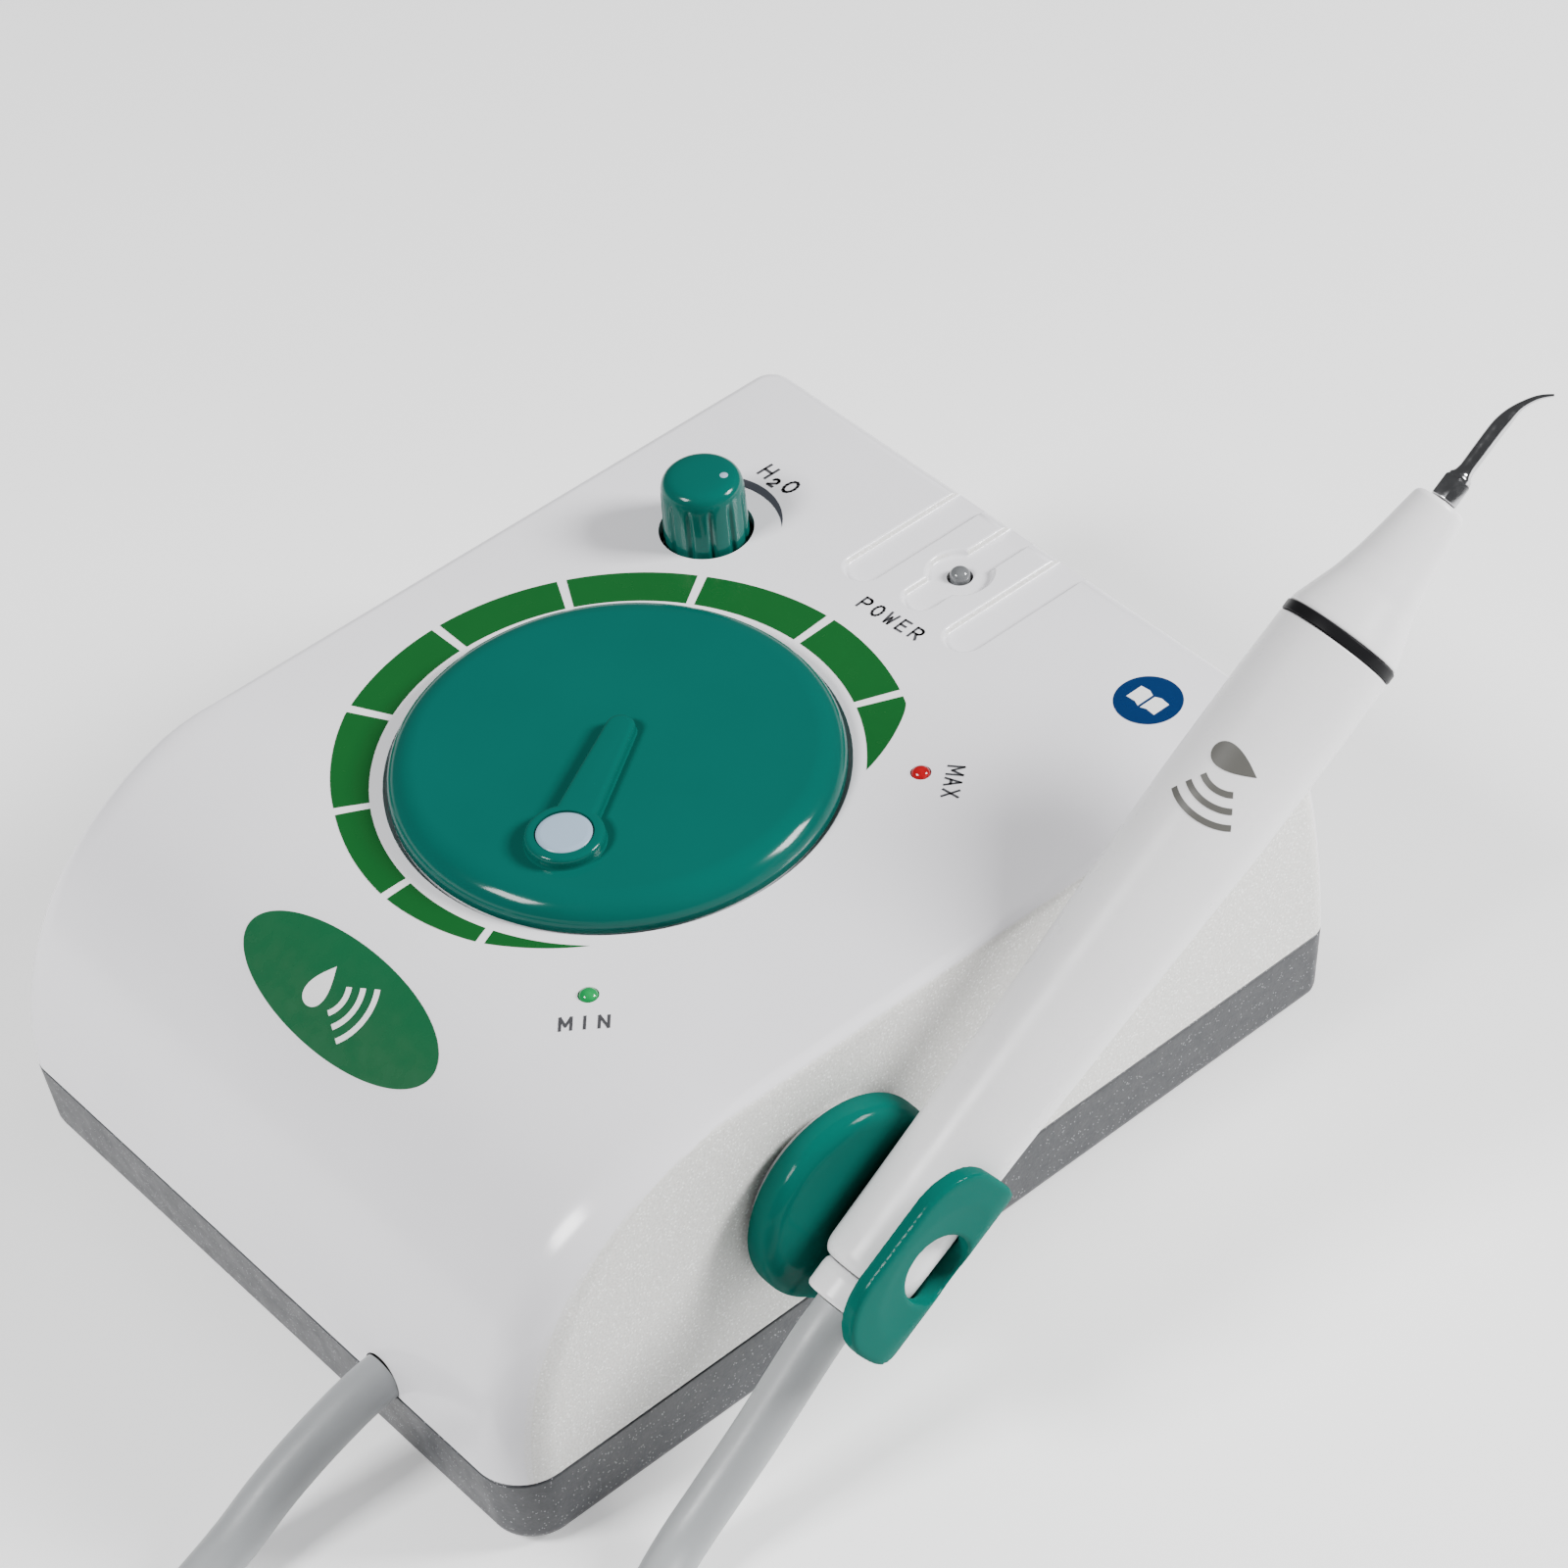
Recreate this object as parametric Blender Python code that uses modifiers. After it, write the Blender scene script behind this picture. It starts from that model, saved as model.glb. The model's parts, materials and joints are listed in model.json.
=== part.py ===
"""Ultrasonic dental scaler: a desk unit with two control knobs, its swivelling handpiece
holder, the handpiece with its tip, and the hose that joins the handpiece to the unit.

Metres, +Z up. +Y points to the back of the unit, +X to the side with the handpiece.
The desk is z = 0, and the origin is under the middle of the unit and handpiece.
"""
import math

import bmesh
import bpy
from mathutils import Matrix, Vector

MM = 0.001
GAP = 0.3 * MM

# where the middle of the desk unit stands, counted from the origin
UNIT = Vector((-13.8 * MM, -14.2 * MM, 0.0))

# desk unit
HALF_WIDTH = 67.5 * MM
FRONT = -90.9 * MM
BACK = 90.5 * MM
FOOT_HEIGHT = 1.5 * MM
SPLIT = 17.1 * MM          # height of the seam between the tray and the cover
TOP = 69.3 * MM
WALL = 2.5 * MM
CORNER = 9.0 * MM          # upright corners at the front
BACK_CORNER = 4.5 * MM
TOP_EDGE = 2.6 * MM        # rounding where the walls meet the top
NOSE_LENGTH = 51.0 * MM    # how far back the curved front reaches
NOSE_POWER = 2.2
BACK_LEAN = 6.8 * MM

# controls on the top
DIAL = Vector((-5.0 * MM, -4.0 * MM, TOP))
DIAL_RADIUS = 38.3 * MM
DIAL_HEIGHT = 5.0 * MM
RECESS_RADIUS = 39.1 * MM
RECESS_DEPTH = 1.2 * MM
POINTER_ANGLE = math.radians(-59.4)
WATER = Vector((-40.9 * MM, 45.7 * MM, TOP))
WATER_HEIGHT = 12.3 * MM
WATER_HOLE = 8.4 * MM
KNOB_DOT_ANGLE = math.radians(40.0)
POWER_LED = Vector((-0.8 * MM, 68.9 * MM, TOP))
MIN_LED = Vector((32.2 * MM, -40.6 * MM, TOP))
MAX_LED = Vector((31.6 * MM, 30.7 * MM, TOP))
GROOVE_WIDTH = 7.0 * MM
GROOVE_DEPTH = 1.2 * MM
GROOVE_START = 54.8 * MM
GROOVE_PITCH = 12.8 * MM
BOARD_TOP = 50.0 * MM

# handpiece and its holder
PIVOT = Vector((69.0 * MM, -24.2 * MM, 40.5 * MM))
TILT = math.radians(32.5)
PUCK_RADIUS = 18.2 * MM
PUCK_THICK = 6.0 * MM
HAND_OFFSET = 14.75 * MM   # from the puck's back face out to the handpiece's axis
TROUGH_RADIUS = 8.5 * MM
TROUGH_WALL = 2.9 * MM
CHEEK_HALF = 17.4 * MM
CHEEK_TOP = 15.0 * MM
REAR_END = -13.8 * MM      # hose end of the handpiece, counted along it from the pivot
HAND_LENGTH = 158.0 * MM
RING_START = 129.4 * MM
RING_END = 132.0 * MM

# hose
HOSE_DIAMETER = 8.2 * MM
EXIT = Vector((33.6 * MM, FRONT, 19.0 * MM))
COIL = Vector((112.0 * MM, -150.0 * MM, 0.0))
COIL_MIDDLE = 43.5 * MM    # radius of the coil at the middle of its turns
COIL_COLUMNS = 2
COIL_LAYERS = 3

# routes of the hose's centreline in mm, counted from the middle of the desk unit
FRONT_ROUTE = [
    (33.6, -90.4, 19.0), (33.6, -94.5, 18.3), (33.5, -99.5, 16.7), (33.5, -107.3, 13.7),
    (33.7, -115.0, 10.2),
    (34.5, -123.0, 6.5), (35.8, -131.0, 4.5), (37.9, -139.0, 4.15), (43.5, -152.5, 4.2),
    (51.4, -165.0, 5.2), (61.8, -176.6, 8.6)]
REAR_ROUTE = [
    (83.75, -36.1, 32.9), (83.75, -41.0, 29.6), (83.75, -46.6, 24.9), (83.75, -55.4, 17.4),
    (83.8, -64.1, 10.8), (84.8, -73.0, 5.9), (88.0, -81.3, 4.2), (93.0, -88.3, 4.15),
    (100.2, -94.9, 4.15)]

COLOURS = {
    "white_gloss": ((0.84, 0.84, 0.85), 0.18, 0.0),
    "white_matt": ((0.72, 0.72, 0.73), 0.55, 0.0),
    "grey_tray": ((0.13, 0.135, 0.145), 0.42, 0.0),
    "green_gloss": ((0.0, 0.21, 0.145), 0.16, 0.0),
    "marker_white": ((0.78, 0.80, 0.84), 0.30, 0.0),
    "black_rubber": ((0.02, 0.02, 0.02), 0.75, 0.0),
    "black_plastic": ((0.03, 0.03, 0.03), 0.45, 0.0),
    "hose_grey": ((0.44, 0.46, 0.47), 0.42, 0.0),
    "steel": ((0.62, 0.62, 0.63), 0.18, 1.0),
    "titanium": ((0.45, 0.43, 0.41), 0.32, 1.0),
    "brass": ((0.70, 0.52, 0.25), 0.30, 1.0),
    "ceramic": ((0.75, 0.70, 0.58), 0.55, 0.0),
    "board_green": ((0.02, 0.15, 0.06), 0.50, 0.0),
    "lens_clear": ((0.80, 0.82, 0.84), 0.10, 0.0),
    "lens_green": ((0.02, 0.45, 0.10), 0.12, 0.0),
    "lens_red": ((0.60, 0.01, 0.02), 0.12, 0.0),
    "handpiece_white": ((0.82, 0.81, 0.80), 0.22, 0.0),
}


def clear_scene():
    for obj in list(bpy.data.objects):
        bpy.data.objects.remove(obj, do_unlink=True)


def new_collection(name):
    collection = bpy.data.collections.new(name)
    bpy.context.scene.collection.children.link(collection)
    return collection


def material(name):
    found = bpy.data.materials.get(name)
    if found:
        return found
    colour, roughness, metallic = COLOURS[name]
    made = bpy.data.materials.new(name)
    made.use_nodes = True
    shader = made.node_tree.nodes["Principled BSDF"]
    shader.inputs["Base Color"].default_value = (*colour, 1.0)
    shader.inputs["Roughness"].default_value = roughness
    shader.inputs["Metallic"].default_value = metallic
    return made


def keep(obj, name, colour, collection=None):
    """Name an object, give it its material and move it to its collection."""
    obj.name = name
    obj.data.name = name
    obj.data.materials.clear()
    obj.data.materials.append(material(colour))
    for old in list(obj.users_collection):
        old.objects.unlink(obj)
    (collection or PARTS).objects.link(obj)
    if obj.type == "MESH":
        obj.data.shade_smooth()
        obj.data.set_sharp_from_angle(angle=math.radians(35.0))
    return obj


def as_cutter(obj, name):
    keep(obj, name, "white_matt", CUTTERS)
    obj.hide_render = True
    obj.display_type = "WIRE"
    return obj


def boolean(target, tool, operation="DIFFERENCE"):
    mod = target.modifiers.new(operation.title() + "_" + tool.name, "BOOLEAN")
    mod.operation = operation
    mod.solver = "EXACT"
    mod.object = tool


def bevel(obj, width, segments=2, angle=40.0):
    mod = obj.modifiers.new("Bevel", "BEVEL")
    mod.width = width
    mod.segments = segments
    mod.limit_method = "ANGLE"
    mod.angle_limit = math.radians(angle)


def box(size, location, rotation=(0.0, 0.0, 0.0)):
    bpy.ops.mesh.primitive_cube_add(size=1.0, location=location, rotation=rotation)
    obj = bpy.context.object
    obj.scale = size
    bpy.ops.object.transform_apply(location=False, rotation=False, scale=True)
    return obj


def cylinder(radius, depth, location, rotation=(0.0, 0.0, 0.0), sides=32):
    bpy.ops.mesh.primitive_cylinder_add(
        radius=radius, depth=depth, vertices=sides, location=location, rotation=rotation)
    return bpy.context.object


def turned(profile, location, rotation=(0.0, 0.0, 0.0), sides=32, closed=False):
    """Turn a profile of (radius, height) points, in mm, that runs down its outer side."""
    mesh = bpy.data.meshes.new("profile")
    points = [(r * MM, 0.0, z * MM) for r, z in profile]
    edges = [(i, i + 1) for i in range(len(points) - 1)]
    if closed:
        edges.append((len(points) - 1, 0))
    mesh.from_pydata(points, edges, [])
    obj = bpy.data.objects.new("turned", mesh)
    bpy.context.scene.collection.objects.link(obj)
    obj.location = location
    obj.rotation_euler = rotation
    screw = obj.modifiers.new("Screw", "SCREW")
    screw.angle = math.tau
    screw.steps = sides
    screw.render_steps = sides
    screw.use_merge_vertices = True
    screw.merge_threshold = 0.00001
    return obj


def prism(outline, thickness, location, rotation=(0.0, 0.0, 0.0)):
    """Extrude a flat closed outline of (x, y) points by its thickness, centred on its plane."""
    curve = bpy.data.curves.new("outline", "CURVE")
    curve.dimensions = "2D"
    curve.fill_mode = "BOTH"
    curve.extrude = thickness / 2
    spline = curve.splines.new("POLY")
    spline.points.add(len(outline) - 1)
    for point, (x, y) in zip(spline.points, outline):
        point.co = (x, y, 0.0, 1.0)
    spline.use_cyclic_u = True
    guide = bpy.data.objects.new("outline", curve)
    bpy.context.scene.collection.objects.link(guide)
    guide.location = location
    guide.rotation_euler = rotation
    return to_mesh(guide)


def to_mesh(guide):
    """Replace a curve object by its welded mesh, in the same place."""
    bpy.context.view_layer.update()
    graph = bpy.context.evaluated_depsgraph_get()
    mesh = bpy.data.meshes.new_from_object(guide.evaluated_get(graph))
    obj = bpy.data.objects.new(guide.name, mesh)
    obj.matrix_world = guide.matrix_world.copy()
    bpy.context.scene.collection.objects.link(obj)
    bpy.data.objects.remove(guide, do_unlink=True)
    body = bmesh.new()
    body.from_mesh(mesh)
    bmesh.ops.remove_doubles(body, verts=body.verts, dist=0.00001)
    bmesh.ops.recalc_face_normals(body, faces=body.faces)
    body.to_mesh(mesh)
    body.free()
    return obj


def arc(centre, radius, start, end, count):
    """Points along an arc in a plane, angles in degrees."""
    cx, cy = centre
    steps = [math.radians(start + (end - start) * i / (count - 1)) for i in range(count)]
    return [(cx + radius * math.cos(a), cy + radius * math.sin(a)) for a in steps]


def rounded_rectangle(low, high, radii, count=7):
    """Corner radii run anticlockwise from the low-x, low-y corner."""
    (x0, y0), (x1, y1) = low, high
    corners = ((x0, y0, 180), (x1, y0, 270), (x1, y1, 0), (x0, y1, 90))
    points = []
    for (x, y, start), radius in zip(corners, radii):
        cx = x + radius * (1 if x == x0 else -1)
        cy = y + radius * (1 if y == y0 else -1)
        points += arc((cx, cy), radius, start, start + 90, count)
    return points


def loft(rings, location, close_ends=True):
    """Skin a stack of rings that all have the same number of points."""
    body = bmesh.new()
    rows = [[body.verts.new(point) for point in ring] for ring in rings]
    for low, high in zip(rows, rows[1:]):
        for i in range(len(low)):
            j = (i + 1) % len(low)
            body.faces.new((low[i], low[j], high[j], high[i]))
    if close_ends:
        body.faces.new(list(reversed(rows[0])))
        body.faces.new(rows[-1])
    bmesh.ops.recalc_face_normals(body, faces=body.faces)
    mesh = bpy.data.meshes.new("loft")
    body.to_mesh(mesh)
    body.free()
    obj = bpy.data.objects.new("loft", mesh)
    bpy.context.scene.collection.objects.link(obj)
    obj.location = location
    return obj


def smooth_path(points, spacing):
    """Even points along a Catmull-Rom curve through the route's own points."""
    ends = [2 * points[0] - points[1], *points, 2 * points[-1] - points[-2]]
    dense = []
    for a, b, c, d in zip(ends, ends[1:], ends[2:], ends[3:]):
        for i in range(24):
            t = i / 24
            dense.append(0.5 * (2 * b + (c - a) * t + (2 * a - 5 * b + 4 * c - d) * t * t
                                + (3 * b - a - 3 * c + d) * t ** 3))
    dense.append(points[-1].copy())
    lengths = [0.0]
    for a, b in zip(dense, dense[1:]):
        lengths.append(lengths[-1] + (b - a).length)
    count = max(2, round(lengths[-1] / spacing))
    even, k = [], 0
    for i in range(count + 1):
        target = lengths[-1] * i / count
        while k < len(lengths) - 2 and lengths[k + 1] < target:
            k += 1
        span = lengths[k + 1] - lengths[k]
        even.append(dense[k].lerp(dense[k + 1], (target - lengths[k]) / span))
    return even


def tube(points, diameter, radii=None, resolution=3):
    """A round bar or hose along points; radii are shares of its diameter at each one."""
    curve = bpy.data.curves.new("tube", "CURVE")
    curve.dimensions = "3D"
    curve.bevel_depth = diameter / 2
    curve.bevel_resolution = resolution
    curve.use_fill_caps = True
    spline = curve.splines.new("POLY")
    spline.points.add(len(points) - 1)
    for i, point in enumerate(points):
        spline.points[i].co = (*point, 1.0)
        spline.points[i].radius = radii[i] if radii else 1.0
    obj = bpy.data.objects.new("tube", curve)
    bpy.context.scene.collection.objects.link(obj)
    return obj


# ---------------------------------------------------------------- desk unit

def cover_rings(inset, levels):
    """Level outlines of the cover, from its lower rim up to its flat top."""
    rings = []
    length, height = NOSE_LENGTH - inset, TOP - SPLIT - inset
    for degrees in levels:
        angle = math.radians(degrees)
        rise = height * math.sin(angle) ** (2 / NOSE_POWER)
        reach = length * max(math.cos(angle), 0.0) ** (2 / NOSE_POWER)
        below_top = min(height - rise, TOP_EDGE)
        edge = TOP_EDGE - math.sqrt(TOP_EDGE ** 2 - (TOP_EDGE - below_top) ** 2)
        side = HALF_WIDTH - inset - edge
        back = BACK - inset - edge - BACK_LEAN * (rise / height) ** 2
        front_corner, back_corner = (
            max(radius - inset - edge, 2 * MM) for radius in (CORNER, BACK_CORNER))
        outline = rounded_rectangle(
            (-side, FRONT + NOSE_LENGTH - reach), (side, back),
            (front_corner, front_corner, back_corner, back_corner), 6)
        rings.append([(x, y, SPLIT + rise) for x, y in outline])
    return rings


def make_cover():
    outer = cover_rings(0.0, (0, 10, 20, 30, 40, 50, 58, 66, 73, 79, 84, 88, 90))
    inner = cover_rings(WALL, (0, 10, 28, 46, 60, 72, 82, 90))
    cover = loft(list(reversed(inner)) + outer, UNIT)
    return keep(cover, "top_cover", "white_gloss")


def groove_outline(half, start):
    """A slot with a round front end, open past the unit's back edge."""
    end = BACK + 10 * MM
    return arc((0.0, start + half), half, 180, 360, 9) + [(half, end), (-half, end)]


def keyhole_outline():
    """The middle slot widens to a round bowl about the power light."""
    half, bowl, end = 3.1 * MM, 5.7 * MM, BACK + 10 * MM
    turn = math.degrees(math.acos(half / bowl))
    front = (0.0, GROOVE_START + 2.0 * MM + half)
    centre = (0.0, POWER_LED.y)
    return (arc(front, half, 180, 360, 9) + arc(centre, bowl, -turn, turn, 10)
            + [(half, end), (-half, end)] + arc(centre, bowl, 180 - turn, 180 + turn, 10))


def cut_cover(cover):
    floor = -RECESS_DEPTH / MM
    recess = turned(
        [(0, 10), (RECESS_RADIUS / MM, 10), (RECESS_RADIUS / MM, floor), (4.0, floor),
         (4.0, -10), (0, -10)], UNIT + DIAL, sides=72)
    boolean(cover, as_cutter(recess, "cut_dial_recess"))
    holes = [
        ("cut_water_knob", WATER, WATER_HOLE, 40),
        ("cut_power_led", POWER_LED, 2.3 * MM, 20), ("cut_min_led", MIN_LED, 1.9 * MM, 16),
        ("cut_max_led", MAX_LED, 1.9 * MM, 16)]
    for name, place, radius, sides in holes:
        hole = cylinder(radius, 20 * MM, UNIT + place, sides=sides)
        boolean(cover, as_cutter(hole, name))
    for side in (-1, 1):
        place = UNIT + Vector((POWER_LED.x + side * GROOVE_PITCH, 0.0, TOP))
        groove = prism(groove_outline(GROOVE_WIDTH / 2, GROOVE_START), 2 * GROOVE_DEPTH, place)
        boolean(cover, as_cutter(groove, "cut_groove_" + ("left" if side < 0 else "right")))
    keyhole = prism(keyhole_outline(), 2 * GROOVE_DEPTH, UNIT + Vector((POWER_LED.x, 0.0, TOP)))
    boolean(cover, as_cutter(keyhole, "cut_groove_middle"))
    window = box((90 * MM, 12 * MM, 26 * MM), UNIT + Vector((0.0, BACK - 2 * MM, 34 * MM)))
    boolean(cover, as_cutter(window, "cut_rear_window"))
    hole = cylinder(4.4 * MM, 12 * MM, UNIT + Vector((HALF_WIDTH, PIVOT.y, PIVOT.z)),
                    (0.0, math.pi / 2, 0.0), 24)
    boolean(cover, as_cutter(hole, "cut_pivot"))


def make_tray():
    """The grey lower shell: outer wall, a lip inside the cover, and the floor."""
    def ring(inset, height, front=0.0):
        front_corner, back_corner = (max(r - inset, 2 * MM) for r in (CORNER, BACK_CORNER))
        outline = rounded_rectangle(
            (-HALF_WIDTH + inset, FRONT + inset + front), (HALF_WIDTH - inset, BACK - inset),
            (front_corner, front_corner, back_corner, back_corner))
        return [(x, y, height) for x, y in outline]
    rim = SPLIT - GAP
    rings = [ring(1.4 * MM, FOOT_HEIGHT, 0.5 * MM), ring(0.8 * MM, FOOT_HEIGHT + 0.6 * MM, 0.4 * MM),
             ring(0.5 * MM, FOOT_HEIGHT + 2.0 * MM, 0.3 * MM), ring(0.0, rim),
             ring(WALL + GAP, rim), ring(WALL + GAP, rim + 3.0 * MM),
             ring(WALL + 1.8 * MM, rim + 3.0 * MM), ring(WALL + 1.8 * MM, FOOT_HEIGHT + 2.3 * MM)]
    tray = loft(rings, UNIT)
    keep(tray, "base_tray", "grey_tray")
    for name, place in screw_places():
        hole = turned([(0, 10), (1.9, 10), (1.9, 2.8), (3.4, 2.8), (3.4, -1), (0, -1)],
                      UNIT + place, sides=12)
        boolean(tray, as_cutter(hole, "cut_" + name))
    return tray


def cut_hose_exit(cover, tray):
    place = UNIT + Vector((EXIT.x, FRONT + 4 * MM, EXIT.z))
    hole = cylinder(4.9 * MM, 16 * MM, place, (math.pi / 2, 0.0, 0.0), 32)
    as_cutter(hole, "cut_hose_exit")
    boolean(cover, hole)
    boolean(tray, hole)


def four_places(x, front, back):
    return [("front_left", Vector((-x, front, 0.0))), ("front_right", Vector((x, front, 0.0))),
            ("back_left", Vector((-x, back, 0.0))), ("back_right", Vector((x, back, 0.0)))]


def screw_places():
    return [("screw_" + name, place) for name, place in four_places(44 * MM, -62 * MM, 66 * MM)]


def make_feet():
    for name, place in four_places(54 * MM, -76 * MM, 76 * MM):
        foot = turned([(0, 1.2), (5.6, 1.2), (6.0, 0.8), (5.6, 0.0), (0, 0.0)], UNIT + place,
                      sides=16)
        keep(foot, "foot_" + name, "black_rubber")


def make_case_screws():
    head_top = 2.5
    for name, place in screw_places():
        screw = turned([(0, 13.5), (1.4, 13.5), (1.4, head_top), (3.0, head_top), (3.0, 1.7), (0, 1.7)],
                       UNIT + place, sides=12)
        keep(screw, "case_" + name, "steel")
        top = (TOP - WALL) / MM - (7.5 if place.y < 0 else 0.4)
        post = turned([(3.6, top), (3.6, 4.2), (1.8, 4.2), (1.8, top)], UNIT + place,
                      sides=12, closed=True)
        keep(post, "post_" + name[6:], "white_matt")


# ---------------------------------------------------------------- controls

def pointer_outline():
    """A spoon: a narrow bar from near the middle of the dial to a round head."""
    head, tail, bar = 7.2 * MM, 5.6 * MM, 2.7 * MM
    reach = 23.4 * MM
    spread = math.degrees(math.asin(bar / head)) + 12
    outline = arc((reach, 0.0), head, 180 + spread, 540 - spread, 25)
    outline += arc((-tail + bar, 0.0), bar, 90, 270, 9)
    return outline


def make_dial():
    rim, top, rounding = DIAL_RADIUS / MM, DIAL_HEIGHT / MM, 5.2
    crown = [(rim - rounding * (1 - math.cos(math.radians(a))),
              0.7 + (top - 0.7) * math.sin(math.radians(a))) for a in (90, 68, 46, 24, 0)]
    disc = turned([(0, top), *crown, (rim, -0.6), (rim - 1.8, -0.6), (rim - 1.8, 0.4), (8, 0.4),
                   (8, -0.6), (3.4, -0.6), (3.4, 3.0), (0, 3.0)], UNIT + DIAL, sides=56)
    pointer = prism(pointer_outline(), 3.4 * MM,
                    UNIT + DIAL + Vector((0.0, 0.0, DIAL_HEIGHT + 0.5 * MM)),
                    (0.0, 0.0, POINTER_ANGLE))
    pocket = cylinder(5.0 * MM, 2.0 * MM, marker_place() + Vector((0.0, 0.0, 0.6 * MM)), sides=32)
    boolean(pointer, as_cutter(pocket, "cut_marker_pocket"))
    boolean(disc, as_cutter(pointer, "add_pointer"), "UNION")
    keep(disc, "power_dial", "green_gloss")
    marker = cylinder(4.7 * MM, 0.6 * MM, marker_place(), sides=32)
    keep(marker, "dial_marker", "marker_white")


def marker_place():
    reach = 23.4 * MM
    return UNIT + DIAL + Vector((reach * math.cos(POINTER_ANGLE), reach * math.sin(POINTER_ANGLE),
                                 DIAL_HEIGHT + 2.0 * MM))


def make_dial_drive():
    shaft_top = DIAL + Vector((0.0, 0.0, 2.7 * MM))
    shaft = turned([(0, 0), (3.0, 0), (3.0, -12.5), (0, -12.5)], UNIT + shaft_top, sides=24)
    keep(shaft, "dial_shaft", "steel")
    base = UNIT + Vector((DIAL.x, DIAL.y, BOARD_TOP + GAP))
    pot = turned([(0, 8.6), (3.3, 8.6), (3.3, 15.0), (4.6, 15.0), (4.6, 8.0), (8.5, 8.0),
                  (8.5, 0), (0, 0)], base, sides=20)
    keep(pot, "potentiometer", "black_plastic")


def water_knob_rings():
    """Rib-and-groove knob: twelve grooves that fade out below the rounded crown."""
    levels = [(-3.5, 7.85, 0.45), (8.4, 7.65, 0.36), (9.9, 7.5, 0.1), (11.0, 7.0, 0.0),
              (11.9, 6.1, 0.0), (12.3, 4.6, 0.0)]
    rings = []
    for height, radius, depth in levels:
        ring = []
        for i in range(48):
            angle = math.tau * i / 48
            dip = max(0.0, math.cos(12 * angle)) ** 4
            r = (radius - depth * dip) * MM
            ring.append((r * math.cos(angle), r * math.sin(angle), height * MM))
        rings.append(ring)
    return rings


def make_water_knob():
    knob = loft(water_knob_rings(), UNIT + WATER)
    keep(knob, "water_knob", "green_gloss")
    bore = cylinder(3.3 * MM, 14.0 * MM, UNIT + WATER - Vector((0.0, 0.0, 3.5 * MM)), sides=24)
    boolean(knob, as_cutter(bore, "cut_knob_bore"))
    spot = UNIT + WATER + Vector((4.0 * MM * math.cos(KNOB_DOT_ANGLE),
                                  4.0 * MM * math.sin(KNOB_DOT_ANGLE), WATER_HEIGHT))
    pocket = cylinder(1.2 * MM, 1.2 * MM, spot, sides=16)
    boolean(knob, as_cutter(pocket, "cut_dot_pocket"))
    dot = cylinder(0.9 * MM, 0.5 * MM, spot + Vector((0.0, 0.0, -0.05 * MM)), sides=16)
    keep(dot, "knob_dot", "marker_white")
    stem = turned([(0, 3.0), (3.0, 3.0), (3.0, -22.0), (0, -22.0)], UNIT + WATER, sides=20)
    keep(stem, "valve_stem", "brass")
    valve = turned([(0, 0), (3.4, 0), (3.4, 9.6), (8.0, 9.6), (8.0, -6.0), (4.5, -6.0),
                    (4.5, -9.0), (0, -9.0)],
                   UNIT + Vector((WATER.x, WATER.y, BOARD_TOP - 6.0 * MM)), sides=20)
    keep(valve, "water_valve", "brass")


def make_lights():
    lights = [("power_led", POWER_LED, 2.0, -GROOVE_DEPTH / MM + 1.6, "lens_clear"),
              ("min_led", MIN_LED, 1.6, 0.9, "lens_green"), ("max_led", MAX_LED, 1.6, 0.9, "lens_red")]
    for name, place, radius, top, colour in lights:
        foot = (BOARD_TOP + GAP - TOP) / MM
        dome = [(radius * math.cos(math.radians(a)), top - radius * (1 - math.sin(math.radians(a))))
                for a in (70, 50, 30, 15, 0)]
        led = turned([(0, top), *dome, (radius, foot), (0, foot)], UNIT + place, sides=20)
        keep(led, name, colour)


def make_boards():
    control = box((112 * MM, 142 * MM, 1.6 * MM),
                  UNIT + Vector((0.0, 2 * MM, BOARD_TOP - 0.8 * MM)))
    for name, place in screw_places():
        clear = cylinder(4.0 * MM, 8 * MM, UNIT + place + Vector((0.0, 0.0, BOARD_TOP)), sides=16)
        boolean(control, as_cutter(clear, "cut_board_" + name))
    slot = cylinder(8.6 * MM, 8 * MM, UNIT + Vector((WATER.x, WATER.y, BOARD_TOP)), sides=24)
    boolean(control, as_cutter(slot, "cut_board_valve"))
    keep(control, "control_board", "board_green")
    power = box((70 * MM, 84 * MM, 1.6 * MM), UNIT + Vector((-16 * MM, 6 * MM, 9.0 * MM)))
    keep(power, "power_board", "board_green")
    core = box((34 * MM, 30 * MM, 24 * MM), UNIT + Vector((-28 * MM, 22 * MM, 22.2 * MM)))
    bevel(core, 1.5 * MM)
    keep(core, "transformer", "black_plastic")
    solenoid = cylinder(9 * MM, 26 * MM, UNIT + Vector((36 * MM, 40 * MM, 14 * MM)),
                        (math.pi / 2, 0.0, 0.0), 24)
    keep(solenoid, "water_solenoid", "brass")


# ---------------------------------------------------------------- back panel

PANEL_Y = BACK - 5.0 * MM
PANEL_Z = 34.0 * MM
SWITCH = Vector((-31.0 * MM, PANEL_Y, PANEL_Z))
MAINS = Vector((-9.0 * MM, PANEL_Y, PANEL_Z))
PEDAL = Vector((11.0 * MM, PANEL_Y, PANEL_Z))
WATER_IN = Vector((31.0 * MM, PANEL_Y, PANEL_Z))


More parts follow.
